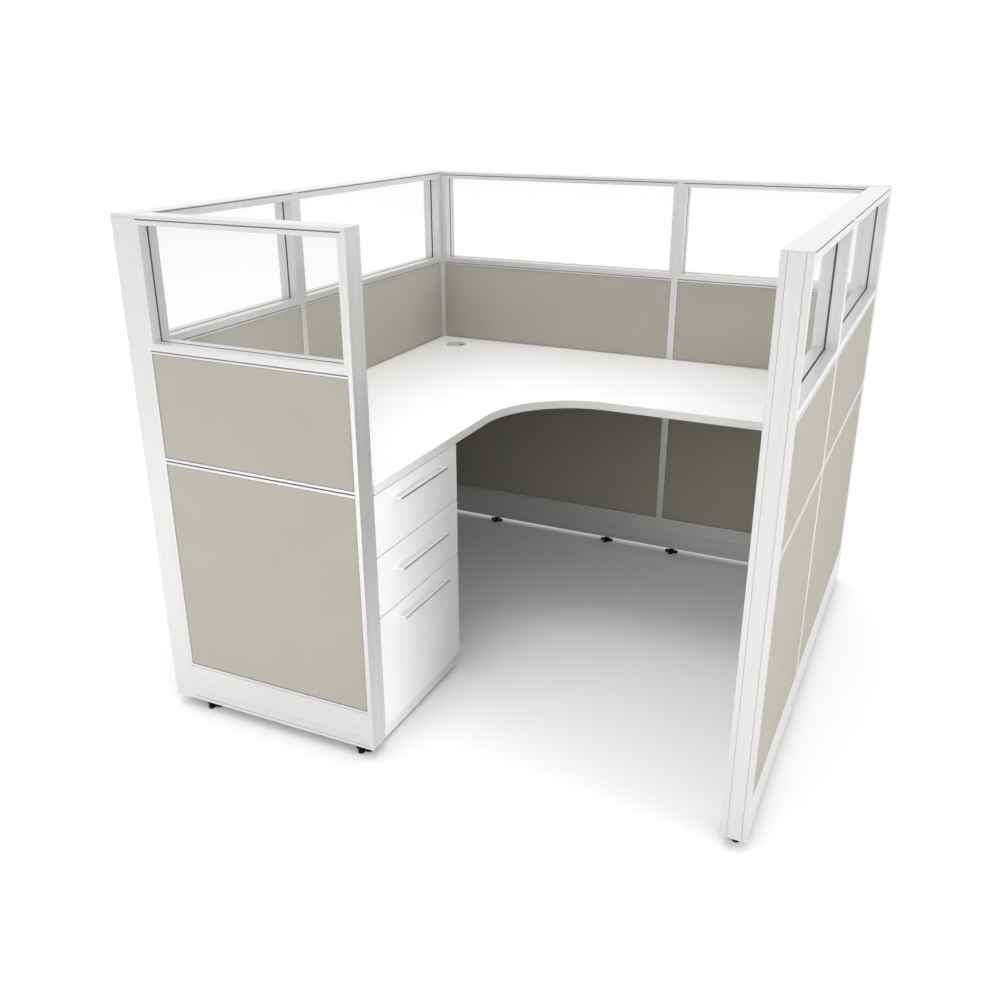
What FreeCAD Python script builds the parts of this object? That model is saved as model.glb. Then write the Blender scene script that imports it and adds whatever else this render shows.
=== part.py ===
import FreeCAD, Part
import math
import os

# Cubicle workstation, in millimetres: seven glazed panel bays stand round three sides and a
# short front wing, an L-shaped worktop hangs on them, and a three-drawer pedestal stands
# under its left run. The sizes below are laid out from the outer corner of the front left
# post: +X runs along the back wall, +Y to the back, +Z up. Each finished piece is moved so
# that the origin lies on the floor in the middle of the footprint.

# Bays and their heights, from the floor up
PANEL_THICKNESS = 60.0
NARROW_BAY = 590.0
WIDE_BAY = 890.0
FOOT_GAP = 28.0
BASE_HEIGHT = 116.0
LOWER_TILE_HEIGHT = 586.0
MID_RAIL_HEIGHT = 17.0
UPPER_TILE_HEIGHT = 270.0
CROWN_HEIGHT = 5.0
SILL_HEIGHT = 18.0
OPENING_HEIGHT = 280.0
HEAD_HEIGHT = 11.0
CAP_HEIGHT = 9.0
FLAT_CAP_HEIGHT = 3.0
REVEAL_HEIGHT = 3.0
REVEAL_DEPTH = 4.0

# Clearances and seats
SEAT_GAP = 0.3
TILE_GAP = 0.5
RUNNING_GAP = 0.3
OVERRUN = 5.0
MATCH_GAP = 0.01

# Edge channel of a bay, and the cover strip of a free end
EDGE_WIDTH = 12.0
EDGE_WALL = 2.0
EDGE_LIP = 5.0
STRIP_WIDTH = 34.0
STRIP_THICKNESS = 2.0

# Corner posts
POST_WALL = 2.5
POST_CORNER_EASE = 1.5
POST_CAP_RISE = 1.5
POST_CAP_PLUG = 20.0
POST_CAP_EASE = 1.0

# Welded steel frame inside a bay
TUBE_WIDTH = 25.0
TUBE_WALL = 1.5
FRAME_FOOT_RISE = 6.0

# Fabric tiles
TILE_THICKNESS = 12.0
TILE_SETBACK = 1.0
TILE_EDGE_EASE = 2.0

# Mid rail
MID_RAIL_GROOVE = 3.0
MID_RAIL_GROOVE_DEPTH = 4.0

# Base cover section
COVER_WALL = 1.5
COVER_FACE_SETBACK = 0.8
COVER_TOP_LIP = 6.0
COVER_BOTTOM_LIP = 9.0
COVER_GROOVE = 2.5
COVER_GROOVE_DEPTH = 2.2
COVER_RETURN = 8.0

# Glazing
STILE_WIDTH = 9.0
GLASS_THICKNESS = 3.0
GASKET_WALL = 0.8
GASKET_PROUD = 0.3
GROOVE_DEPTH = 6.0

# Levelling glides
NARROW_GLIDE_INSET = 48.0
WIDE_GLIDE_INSET = 210.0
GLIDE_REACH = 24.0
GLIDE_ARM_WIDTH = 16.0
GLIDE_ARM_EASE = 5.0
GLIDE_PAD_HEIGHT = 8.0
GLIDE_NECK_RADIUS = 9.0
GLIDE_NECK_HEIGHT = 5.0
STEM_RADIUS = 5.0
STEM_ENGAGEMENT = 18.0
NUT_RADIUS = 9.0
NUT_HEIGHT = 6.0
GLIDE_ARMS = 4
PAD_SIDES = 12
STEM_SIDES = 6
NUT_SIDES = 6

# Worktop
WORKTOP_HEIGHT = 745.0
WORKTOP_THICKNESS = 25.0
WORKTOP_DEPTH = 594.0
WORKTOP_CURVE_RADIUS = 275.0
WORKTOP_WALL_GAP = 1.0
WORKTOP_EDGE_EASE = 1.0

# Brackets under the worktop
BRACKET_REACH = 420.0
BRACKET_PLATE = 3.0
BRACKET_ROOT_HEIGHT = 110.0
BRACKET_TIP_HEIGHT = 22.0
BRACKET_FLANGE_WIDTH = 32.0
BRACKET_WALL_WIDTH = 22.0
CORNER_SHELF = 170.0
CORNER_FLANGE_HEIGHT = 34.0

# Screws into the worktop
SCREW_RADIUS = 2.5
SCREW_HOLE_RADIUS = 3.0
SCREW_HEAD_RADIUS = 5.0
SCREW_HEAD_HEIGHT = 3.0
SCREW_BITE = 16.0
PILOT_GAP = 0.1
SCREW_SIDES = 6

# Grommet near the back left corner of the worktop
GROMMET_INSET = 110.0
GROMMET_HOLE_RADIUS = 30.0
GROMMET_FLANGE_WIDTH = 5.0
GROMMET_FLANGE_HEIGHT = 3.0
GROMMET_WALL = 2.0
GROMMET_RIM = 2.5
GROMMET_CAP_THICKNESS = 2.0
GROMMET_SKIRT_DEPTH = 8.0
CORD_SLOT_WIDTH = 16.0
CORD_SLOT_DEPTH = 16.0
GROMMET_SIDES = 48

# Pedestal
PEDESTAL_WIDTH = 428.0
PEDESTAL_SIDE_GAP = 2.0
CASE_BACK_GAP = 11.0
CASE_WALL = 2.0
CASE_FLANGE = 10.0
CASE_FLOOR_GAP = 5.0
CASE_BOSS_HEIGHT = 4.0
CASE_BOSS_RADIUS = 12.0
CASE_BOSS_INSET = 60.0
PLINTH_HEIGHT = 60.0
FRONT_SETBACK = 3.0
FRONT_THICKNESS = 18.0
FRONT_REVEAL = 2.0
FRONT_GAP = 3.0
FRONT_EDGE_EASE = 1.0
BOX_FRONT_HEIGHT = 163.0
PEDESTAL_GLIDE_RADIUS = 12.0
PEDESTAL_GLIDE_INSET = 40.0

# Drawer boxes
BOX_WALL = 1.5
BOX_HEADROOM = 45.0
FILE_BOX_HEADROOM = 61.0
BOX_LIFT = 18.0
BOX_HEM = 8.0
FILE_RAIL_HEIGHT = 14.0
FILE_RAIL_THICKNESS = 4.0

# Telescopic slides
SLIDE_SETBACK = 3.0
SLIDE_BACK_GAP = 55.0
SLIDE_WIDTH = 12.7
SLIDE_HEIGHT = 45.0
SLIDE_WALL = 1.2
SLIDE_FLANGE = 10.0
SLIDE_WEB_STEP = 2.6
RETAINER_THICKNESS = 1.6
RETAINER_LENGTH = 200.0

# Bar pulls
PULL_LENGTH = 246.0
PULL_WIDTH = 7.0
PULL_THICKNESS = 6.0
PULL_PROJECTION = 21.0
PULL_EDGE_EASE = 1.0
TOP_PULL_DROP = 36.0
MIDDLE_PULL_DROP = 63.5
FILE_PULL_DROP = 38.5

# Levels and places that follow from the sizes above
Z_TILE = FOOT_GAP + BASE_HEIGHT
Z_MID_RAIL = Z_TILE + LOWER_TILE_HEIGHT
Z_UPPER_TILE = Z_MID_RAIL + MID_RAIL_HEIGHT
Z_CROWN = Z_UPPER_TILE + UPPER_TILE_HEIGHT
Z_GLAZING = Z_CROWN + CROWN_HEIGHT + REVEAL_HEIGHT
Z_OPENING = Z_GLAZING + SILL_HEIGHT
Z_HEAD = Z_OPENING + OPENING_HEIGHT
PANEL_HEIGHT = Z_HEAD + HEAD_HEIGHT + REVEAL_HEIGHT + CAP_HEIGHT
FRAME_INSET = TILE_SETBACK + TILE_THICKNESS + SEAT_GAP
FRAME_DEPTH = PANEL_THICKNESS - 2 * FRAME_INSET
FRAME_BOTTOM = FOOT_GAP + FRAME_FOOT_RISE
UPRIGHT_START = EDGE_WALL + STRIP_THICKNESS + SEAT_GAP
INNER_SPAN = NARROW_BAY + WIDE_BAY
FOOTPRINT = INNER_SPAN + 2 * PANEL_THICKNESS
FAR_FACE = FOOTPRINT - PANEL_THICKNESS
WORKTOP_UNDERSIDE = WORKTOP_HEIGHT - WORKTOP_THICKNESS
WORKTOP_FRONT = PANEL_THICKNESS + WORKTOP_DEPTH
CASE_TOP = WORKTOP_UNDERSIDE - CASE_BOSS_HEIGHT
CASE_LEFT = PANEL_THICKNESS + PEDESTAL_SIDE_GAP
CASE_RIGHT = CASE_LEFT + PEDESTAL_WIDTH
CASE_MIDDLE = (CASE_LEFT + CASE_RIGHT) / 2
FRONT_FACE = WORKTOP_FRONT - FRONT_SETBACK
FRONT_BACK = FRONT_FACE - FRONT_THICKNESS
CASE_FRONT = FRONT_BACK - FRONT_REVEAL
CASE_BACK = PANEL_THICKNESS + CASE_BACK_GAP
SLIDE_FRONT = CASE_FRONT - SLIDE_SETBACK
SLIDE_BACK = CASE_BACK + CASE_WALL + SLIDE_BACK_GAP
RIGHT_BRACKET_X = FAR_FACE - WORKTOP_WALL_GAP - BRACKET_WALL_WIDTH / 2
GROMMET_FLANGE_RADIUS = GROMMET_HOLE_RADIUS + GROMMET_FLANGE_WIDTH
GROMMET_X = PANEL_THICKNESS + GROMMET_INSET
GROMMET_Y = FAR_FACE - GROMMET_INSET

UP = FreeCAD.Vector(0, 0, 1)
ALONG_X = FreeCAD.Vector(1, 0, 0)
ALONG_Y = FreeCAD.Vector(0, 1, 0)


class Wall:
    """A straight run of bays with its outer face on the right of the way it runs."""

    def __init__(self, name, start, turn, bays, cap_height, free_end):
        self.name = name
        self.start = FreeCAD.Vector(start[0], start[1], 0)
        self.turn = turn
        self.bays = bays
        self.cap_height = cap_height
        self.free_end = free_end

    def bay_starts(self):
        return [sum(self.bays[:number]) for number in range(len(self.bays))]

    def placed(self, shape):
        """Turn a shape from the wall's own axes into the workstation's."""
        shape = shape.copy()
        shape.rotate(FreeCAD.Vector(0, 0, 0), UP, self.turn)
        shape.translate(self.start)
        return shape


# free_end is the place along the run where a wall ends without a post
WING = Wall("wing", (PANEL_THICKNESS, 0), 0, [NARROW_BAY], CAP_HEIGHT, NARROW_BAY)
RIGHT_WALL = Wall("right_wall", (FOOTPRINT, PANEL_THICKNESS), 90, [NARROW_BAY, WIDE_BAY],
                  FLAT_CAP_HEIGHT, 0)
BACK_WALL = Wall("back_wall", (FAR_FACE, FOOTPRINT), 180, [NARROW_BAY, WIDE_BAY],
                 CAP_HEIGHT, None)
LEFT_WALL = Wall("left_wall", (0, FAR_FACE), -90, [WIDE_BAY, NARROW_BAY],
                 FLAT_CAP_HEIGHT, None)
WALLS = [WING, RIGHT_WALL, BACK_WALL, LEFT_WALL]
POSTS = {"post_front_left": (0, 0), "post_back_left": (0, FAR_FACE),
         "post_back_right": (FAR_FACE, FAR_FACE)}


def block(x_range, y_range, z_range):
    """A rectangular solid between pairs of planes."""
    size = [high - low for low, high in (x_range, y_range, z_range)]
    corner = FreeCAD.Vector(x_range[0], y_range[0], z_range[0])
    return Part.makeBox(size[0], size[1], size[2], corner)


def face_of(points):
    """A flat face inside a closed outline of vectors."""
    return Part.Face(Part.makePolygon(points + points[:1]))


def standing_bar(outline, bottom, top):
    """A bar that stands up, from an outline in plan."""
    points = [FreeCAD.Vector(x, y, bottom) for x, y in outline]
    return face_of(points).extrude(UP * (top - bottom))


def running_bar(outline, start, end):
    """A bar that runs along X, from an outline in Y and Z."""
    points = [FreeCAD.Vector(start, y, z) for y, z in outline]
    return face_of(points).extrude(ALONG_X * (end - start))


def prism(radius, sides, x, y, bottom, top):
    """A standing prism with even sides, used for small fastenings and their holes."""
    turns = [math.radians(360 * number / sides) for number in range(sides)]
    outline = [(x + radius * math.cos(turn), y + radius * math.sin(turn)) for turn in turns]
    return standing_bar(outline, bottom, top)


def edges_on(solid, direction, place):
    """Edges of a solid that lie in the plane at a place along a direction."""
    return [edge for edge in solid.Edges
            if all(abs(vertex.Point.dot(direction) - place) < MATCH_GAP for vertex in edge.Vertexes)]


def folded_outline(path, wall):
    """Close an open path into a section of one wall thickness, on the right of the path."""
    normals = []
    for (x0, y0), (x1, y1) in zip(path, path[1:]):
        length = math.hypot(x1 - x0, y1 - y0)
        normals.append(((y1 - y0) / length, (x0 - x1) / length))
    inner = []
    for number, (x, y) in enumerate(path):
        before = normals[max(number - 1, 0)]
        after = normals[min(number, len(normals) - 1)]
        share = 1 / (1 + before[0] * after[0] + before[1] * after[1])
        inner.append((x + wall * share * (before[0] + after[0]),
                      y + wall * share * (before[1] + after[1])))
    return path + inner[::-1]


def mirrored(shape, place, direction):
    """The shape on the other side of a plane at a place along a direction."""
    return shape.mirror(direction * place, direction)


def on_both_faces(shape):
    """A piece of the outer face with its twin on the inner face of the bay."""
    return [shape, mirrored(shape, PANEL_THICKNESS / 2, ALONG_Y)]


def at_both_ends(shape, width):
    """A piece at the start of a bay with its twin at the end."""
    return [shape, mirrored(shape, width / 2, ALONG_X)]


def moved(shapes, offset):
    """Copies of shapes, moved along X."""
    result = [shape.copy() for shape in shapes]
    for shape in result:
        shape.translate(ALONG_X * offset)
    return result


def tube(x_range, y_range, z_range, along):
    """A square tube between planes, open at both ends of the axis that it runs along."""
    ranges = [x_range, y_range, z_range]
    bore = [(low + TUBE_WALL, high - TUBE_WALL) for low, high in ranges]
    bore[along] = (ranges[along][0] - OVERRUN, ranges[along][1] + OVERRUN)
    return block(*ranges).cut(block(*bore))


def bay_frame(width):
    """Welded frame: two uprights and four rails, drilled for its two glides."""
    depth = (FRAME_INSET, FRAME_INSET + FRAME_DEPTH)
    upright = tube((UPRIGHT_START, UPRIGHT_START + TUBE_WIDTH), depth, (FRAME_BOTTOM, Z_CROWN), 2)
    solid = upright.fuse(mirrored(upright, width / 2, ALONG_X))
    rail_span = (UPRIGHT_START + TUBE_WIDTH, width - UPRIGHT_START - TUBE_WIDTH)
    rail_levels = [FRAME_BOTTOM, Z_TILE - TUBE_WIDTH / 2, Z_MID_RAIL - TUBE_WIDTH / 2,
                   Z_CROWN - TUBE_WIDTH]
    for level in rail_levels:
        solid = solid.fuse(tube(rail_span, depth, (level, level + TUBE_WIDTH), 0))
    for place in glide_places(width):
        solid = solid.cut(prism(STEM_RADIUS + RUNNING_GAP, STEM_SIDES, place, PANEL_THICKNESS / 2,
                                FRAME_BOTTOM - OVERRUN, FRAME_BOTTOM + TUBE_WALL + OVERRUN))
    return solid.removeSplitter()


def edge_channel(top):
    """Aluminium channel that closes a bay's side, with a recess for a strip in its web."""
    near = (PANEL_THICKNESS - STRIP_WIDTH) / 2
    far = PANEL_THICKNESS - near
    path = [(EDGE_WIDTH, PANEL_THICKNESS - EDGE_LIP), (EDGE_WIDTH, PANEL_THICKNESS),
            (0, PANEL_THICKNESS), (0, far), (STRIP_THICKNESS, far), (STRIP_THICKNESS, near),
            (0, near), (0, 0), (EDGE_WIDTH, 0), (EDGE_WIDTH, EDGE_LIP)]
    outline = folded_outline(path[::-1], EDGE_WALL)
    return standing_bar(outline, FOOT_GAP, top)


def mid_rail(width):
    """Face rail between the tiles, with a shadow groove along its middle."""
    back = FRAME_INSET - SEAT_GAP
    groove = (Z_MID_RAIL + Z_UPPER_TILE - MID_RAIL_GROOVE) / 2
    outline = [(0, Z_MID_RAIL), (back, Z_MID_RAIL), (back, Z_UPPER_TILE), (0, Z_UPPER_TILE),
               (0, groove + MID_RAIL_GROOVE), (MID_RAIL_GROOVE_DEPTH, groove + MID_RAIL_GROOVE),
               (MID_RAIL_GROOVE_DEPTH, groove), (0, groove)]
    return running_bar(outline, EDGE_WIDTH, width - EDGE_WIDTH)


def crown_rail(width):
    """Full-depth rail on top of the frame, stepped in at its top to leave a reveal."""
    shoulder = Z_CROWN + CROWN_HEIGHT
    inner = PANEL_THICKNESS - REVEAL_DEPTH
    outline = [(0, Z_CROWN), (PANEL_THICKNESS, Z_CROWN), (PANEL_THICKNESS, shoulder),
               (inner, shoulder), (inner, Z_GLAZING), (REVEAL_DEPTH, Z_GLAZING),
               (REVEAL_DEPTH, shoulder), (0, shoulder)]
    return running_bar(outline, EDGE_WIDTH, width - EDGE_WIDTH)


def bay_trim(width, cap_height):
    """Every aluminium piece that frames the tiles of one bay."""
    pieces = at_both_ends(edge_channel(PANEL_HEIGHT - cap_height), width)
    pieces += on_both_faces(mid_rail(width))
    pieces.append(crown_rail(width))
    return pieces


def tile(width, bottom, top):
    """A fabric-wrapped tile with an eased front edge."""
    solid = block((EDGE_WIDTH + TILE_GAP, width - EDGE_WIDTH - TILE_GAP),
                  (TILE_SETBACK, TILE_SETBACK + TILE_THICKNESS),
                  (bottom + TILE_GAP, top - TILE_GAP))
    return solid.makeChamfer(TILE_EDGE_EASE, edges_on(solid, ALONG_Y, TILE_SETBACK))


def bay_tiles(width):
    """The lower and upper tile of the outer face."""
    return [tile(width, Z_TILE, Z_MID_RAIL), tile(width, Z_UPPER_TILE, Z_CROWN)]


def base_cover(width):
    """Folded base cover of the outer face: a lip above and below, each with its groove."""
    top = Z_TILE - TILE_GAP
    upper = top - COVER_TOP_LIP
    lower = FOOT_GAP + COVER_BOTTOM_LIP
    path = [(FRAME_INSET - SEAT_GAP, top), (0, top), (0, upper), (COVER_GROOVE_DEPTH, upper),
            (COVER_GROOVE_DEPTH, upper - COVER_GROOVE), (COVER_FACE_SETBACK, upper - COVER_GROOVE),
            (COVER_FACE_SETBACK, lower + COVER_GROOVE), (COVER_GROOVE_DEPTH, lower + COVER_GROOVE),
            (COVER_GROOVE_DEPTH, lower), (0, lower), (0, FOOT_GAP), (COVER_RETURN, FOOT_GAP)]
    outline = folded_outline(path[::-1], COVER_WALL)
    return running_bar(outline, EDGE_WIDTH + SEAT_GAP, width - EDGE_WIDTH - SEAT_GAP)


def glazing_limits(width, recess):
    """Low and high corners of the clear opening, grown by a recess on every side."""
    side = EDGE_WIDTH + STILE_WIDTH - recess
    return (side, width - side), (Z_OPENING - recess, Z_HEAD + recess)


def glazing_slot(width, recess, thickness):
    """The slab that fills the opening, grown by a recess, in the middle of the depth."""
    across, up = glazing_limits(width, recess)
    middle = PANEL_THICKNESS / 2
    return block(across, (middle - thickness / 2, middle + thickness / 2), up)


def glass_frame(width, cap_height):
    """Two stiles, a sill and a head, each grooved for the pane and its gasket."""
    top = PANEL_HEIGHT - cap_height - REVEAL_HEIGHT
    depth = (0, PANEL_THICKNESS)
    inner = EDGE_WIDTH + STILE_WIDTH
    members = at_both_ends(block((EDGE_WIDTH, inner), depth, (Z_GLAZING, top)), width)
    members.append(block((inner, width - inner), depth, (Z_GLAZING, Z_OPENING)))
    members.append(block((inner, width - inner), depth, (Z_HEAD, top)))
    groove = glazing_slot(width, GROOVE_DEPTH, GLASS_THICKNESS + 2 * GASKET_WALL)
    return [member.cut(groove) for member in members]


def pane(width):
    """Clear pane, held by the gasket all round."""
    return glazing_slot(width, GROOVE_DEPTH - GASKET_WALL, GLASS_THICKNESS)


def gasket(width):
    """Channel-shaped seal round the edge of the pane."""
    outer = glazing_slot(width, GROOVE_DEPTH, GLASS_THICKNESS + 2 * GASKET_WALL)
    inner = glazing_slot(width, -GASKET_PROUD, GLASS_THICKNESS + 2 * GASKET_WALL + OVERRUN)
    return outer.cut(inner).cut(pane(width))


def top_cap(wall):
    """Flat cap along a whole wall, with a narrower foot in each bay that leaves the reveal."""
    bottom = PANEL_HEIGHT - wall.cap_height
    cap = block((0, sum(wall.bays)), (0, PANEL_THICKNESS), (bottom, PANEL_HEIGHT))
    for start, width in zip(wall.bay_starts(), wall.bays):
        foot = block((start + EDGE_WIDTH, start + width - EDGE_WIDTH),
                     (REVEAL_DEPTH, PANEL_THICKNESS - REVEAL_DEPTH),
                     (bottom - REVEAL_HEIGHT, bottom))
        cap = cap.fuse(foot)
    return cap.removeSplitter()


def corner_post(corner):
    """Square aluminium post with slightly eased corners."""
    x, y = corner
    top = PANEL_HEIGHT + POST_CAP_RISE - CAP_HEIGHT
    solid = block((x, x + PANEL_THICKNESS), (y, y + PANEL_THICKNESS), (FOOT_GAP, top))
    level = edges_on(solid, UP, FOOT_GAP) + edges_on(solid, UP, top)
    corners = [edge for edge in solid.Edges if not any(edge.isSame(other) for other in level)]
    solid = solid.makeChamfer(POST_CORNER_EASE, corners)
    bore = block((x + POST_WALL, x + PANEL_THICKNESS - POST_WALL),
                 (y + POST_WALL, y + PANEL_THICKNESS - POST_WALL),
                 (FOOT_GAP - OVERRUN, top + OVERRUN))
    return solid.cut(bore)


def post_cap(corner):
    """Cap of a corner post, with a plug that sits inside the post's bore."""
    x, y = corner
    top = PANEL_HEIGHT + POST_CAP_RISE
    bottom = top - CAP_HEIGHT
    plate = block((x, x + PANEL_THICKNESS), (y, y + PANEL_THICKNESS), (bottom, top))
    plate = plate.makeChamfer(POST_CAP_EASE, edges_on(plate, UP, top))
    inset = POST_WALL + SEAT_GAP
    plug = block((x + inset, x + PANEL_THICKNESS - inset), (y + inset, y + PANEL_THICKNESS - inset),
                 (bottom - POST_CAP_PLUG, bottom))
    return plate.fuse(plug)


def web_strip(place, thickness, top):
    """A strip that fills the recess in an edge channel's web, from one face at a place."""
    near = (PANEL_THICKNESS - STRIP_WIDTH) / 2 + TILE_GAP
    return block((place, place + thickness), (near, PANEL_THICKNESS - near), (FOOT_GAP, top))


def end_strip(wall):
    """Cover strip on the free end of a wall, flush with its end face."""
    start = 0 if wall.free_end == 0 else wall.free_end - STRIP_THICKNESS
    return web_strip(start, STRIP_THICKNESS, PANEL_HEIGHT - wall.cap_height)


def joining_strips(wall):
    """Strips hidden in the recesses where bays meet each other and their posts."""
    length = sum(wall.bays)
    top = PANEL_HEIGHT - wall.cap_height
    strips = []
    if wall.free_end != 0:
        strips.append(web_strip(0, STRIP_THICKNESS, top))
    if wall.free_end != length:
        strips.append(web_strip(length - STRIP_THICKNESS, STRIP_THICKNESS, top))
    for joint in wall.bay_starts()[1:]:
        strips.append(web_strip(joint - STRIP_THICKNESS, 2 * STRIP_THICKNESS, top))
    return strips


def glide_places(width):
    """Places of a bay's two glides along its run."""
    inset = WIDE_GLIDE_INSET if width > NARROW_BAY else NARROW_GLIDE_INSET
    return [inset, width - inset]


def glide_foot(x, y):
    """Four-armed foot of a glide, with its arms' ends eased, which is turned by hand."""
    half = GLIDE_ARM_WIDTH / 2
    tip = half - GLIDE_ARM_EASE
    arm = [(half, -half), (GLIDE_REACH - GLIDE_ARM_EASE, -half), (GLIDE_REACH, -tip),
           (GLIDE_REACH, tip), (GLIDE_REACH - GLIDE_ARM_EASE, half)]
    points = []
    for number in range(GLIDE_ARMS):
        turn = math.radians(360 * number / GLIDE_ARMS)
        points += [(x + out * math.cos(turn) - side * math.sin(turn),
                    y + out * math.sin(turn) + side * math.cos(turn)) for out, side in arm]
    return standing_bar(points, 0, GLIDE_PAD_HEIGHT)


def glide(x, y, seat):
    """Levelling glide: a foot with a neck, a threaded stem and a nut under the seat."""
    shoulder = GLIDE_PAD_HEIGHT + GLIDE_NECK_HEIGHT
    pad = glide_foot(x, y)
    neck = prism(GLIDE_NECK_RADIUS, NUT_SIDES, x, y, GLIDE_PAD_HEIGHT, shoulder)
    stem = prism(STEM_RADIUS, STEM_SIDES, x, y, shoulder, seat + STEM_ENGAGEMENT)
    nut = prism(NUT_RADIUS, NUT_SIDES, x, y, seat - NUT_HEIGHT, seat)
    return pad.fuse(neck).fuse(stem).fuse(nut)


def pedestal_glide(x, y):
    """Low glide of the pedestal, with its pad right under the case floor."""
    pad = prism(PEDESTAL_GLIDE_RADIUS, PAD_SIDES, x, y, 0, CASE_FLOOR_GAP)
    return pad.fuse(prism(STEM_RADIUS, STEM_SIDES, x, y, 0, PLINTH_HEIGHT - CASE_WALL))


def levelling_glides():
    """All glides: two under each bay and four in the pedestal."""
    glides = []
    for wall in WALLS:
        for start, width in zip(wall.bay_starts(), wall.bays):
            for place in glide_places(width):
                piece = glide(start + place, PANEL_THICKNESS / 2, FRAME_BOTTOM)
                glides.append(wall.placed(piece))
    for x in (CASE_BACK + PEDESTAL_GLIDE_INSET, CASE_FRONT - PEDESTAL_GLIDE_INSET):
        for y in (CASE_LEFT + PEDESTAL_GLIDE_INSET, CASE_RIGHT - PEDESTAL_GLIDE_INSET):
            glides.append(pedestal_glide(x, y))
    return glides


def worktop():
    """One-piece L-shaped top with a curved inner corner and the grommet's hole."""
    low = PANEL_THICKNESS + WORKTOP_WALL_GAP
    high = FAR_FACE - WORKTOP_WALL_GAP
    inner_y = FAR_FACE - WORKTOP_DEPTH
    radius = WORKTOP_CURVE_RADIUS
    centre = (WORKTOP_FRONT + radius, inner_y - radius)
    half_turn_share = math.sqrt(0.5)
    corners = {"front left": (low, low), "front": (WORKTOP_FRONT, low),
               "curve start": (WORKTOP_FRONT, centre[1]),
               "curve middle": (centre[0] - radius * half_turn_share,
                                centre[1] + radius * half_turn_share),
               "curve end": (centre[0], inner_y), "right": (high, inner_y),
               "back right": (high, high), "back left": (low, high)}
    point = {name: FreeCAD.Vector(x, y, WORKTOP_UNDERSIDE) for name, (x, y) in corners.items()}
    curve = Part.Arc(point["curve start"], point["curve middle"], point["curve end"]).toShape()
    order = ["curve end", "right", "back right", "back left", "front left", "front", "curve start"]
    sides = [Part.LineSegment(point[a], point[b]).toShape() for a, b in zip(order, order[1:])]
    slab = Part.Face(Part.Wire([curve] + sides)).extrude(UP * WORKTOP_THICKNESS)
    rims = edges_on(slab, UP, WORKTOP_UNDERSIDE) + edges_on(slab, UP, WORKTOP_HEIGHT)
    slab = slab.makeChamfer(WORKTOP_EDGE_EASE, rims)
    below = WORKTOP_UNDERSIDE - OVERRUN
    slab = slab.cut(Part.makeCylinder(GROMMET_HOLE_RADIUS, WORKTOP_THICKNESS + 2 * OVERRUN,
                                      FreeCAD.Vector(GROMMET_X, GROMMET_Y, below)))
    for x, y in bracket_screws() + boss_places():
        slab = slab.cut(prism(SCREW_RADIUS + PILOT_GAP, SCREW_SIDES, x, y, below,
                              WORKTOP_UNDERSIDE + SCREW_BITE + PILOT_GAP))
    return slab


def cantilever_bracket():
    """Tapered arm along +X from a wall face at zero, with its flange under the worktop."""
    top = WORKTOP_UNDERSIDE
    half_plate = BRACKET_PLATE / 2
    arm = [(BRACKET_PLATE, top - BRACKET_ROOT_HEIGHT), (BRACKET_REACH, top - BRACKET_TIP_HEIGHT),
           (BRACKET_REACH, top), (BRACKET_PLATE, top)]
    points = [FreeCAD.Vector(x, -half_plate, z) for x, z in arm]
    solid = face_of(points).extrude(ALONG_Y * BRACKET_PLATE)
    flange = block((BRACKET_PLATE, BRACKET_REACH), (-half_plate, BRACKET_FLANGE_WIDTH - half_plate),
                   (top - BRACKET_PLATE, top))
    wall_plate = block((0, BRACKET_PLATE), (-BRACKET_WALL_WIDTH / 2, BRACKET_WALL_WIDTH / 2),
                       (top - BRACKET_ROOT_HEIGHT, top))
    solid = solid.fuse(flange).fuse(wall_plate).removeSplitter()
    return drilled(solid, bracket_screw_places())


def bracket_screw_places():
    """Three holes along the bracket's flange."""
    spacing = BRACKET_REACH / 4
    return [(spacing * number, BRACKET_FLANGE_WIDTH / 2) for number in (1, 2, 3)]


def drilled(solid, places):
    """Drill screw holes up through the plate just under the worktop."""
    for x, y in places:
        solid = solid.cut(prism(SCREW_HOLE_RADIUS, SCREW_SIDES, x, y,
                                WORKTOP_UNDERSIDE - BRACKET_PLATE - OVERRUN,
                                WORKTOP_UNDERSIDE + OVERRUN))
    return solid


def corner_bracket():
    """Three-cornered shelf in the back left corner, with a flange down each wall."""
    top = WORKTOP_UNDERSIDE
    corner_y = FAR_FACE
    x = PANEL_THICKNESS
    shelf = standing_bar([(x, corner_y), (x, corner_y - CORNER_SHELF), (x + CORNER_SHELF, corner_y)],
                         top - BRACKET_PLATE, top)
    left = block((x, x + BRACKET_PLATE), (corner_y - CORNER_SHELF, corner_y),
                 (top - CORNER_FLANGE_HEIGHT, top))
    back = block((x, x + CORNER_SHELF), (corner_y - BRACKET_PLATE, corner_y),
                 (top - CORNER_FLANGE_HEIGHT, top))
    solid = shelf.fuse(left).fuse(back).removeSplitter()
    return drilled(solid, corner_screw_places())


def corner_screw_places():
    """Two holes in the corner shelf, clear of the grommet's hole."""
    near = CORNER_SHELF / 6
    far = CORNER_SHELF * 2 / 3
    return [(PANEL_THICKNESS + near, FAR_FACE - far), (PANEL_THICKNESS + far, FAR_FACE - near)]


def worktop_brackets():
    """Cantilevers on the left wall, the back wall and its right end, and the corner bracket."""
    left = cantilever_bracket()
    back = left.copy()
    back.rotate(FreeCAD.Vector(0, 0, 0), UP, -90)
    right = mirrored(back, 0, ALONG_X)
    left.translate(FreeCAD.Vector(PANEL_THICKNESS, PANEL_THICKNESS + NARROW_BAY, 0))
    back.translate(FreeCAD.Vector(PANEL_THICKNESS + WIDE_BAY, FAR_FACE, 0))
    right.translate(FreeCAD.Vector(RIGHT_BRACKET_X, FAR_FACE, 0))
    return [left, back, right, corner_bracket()]


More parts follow.
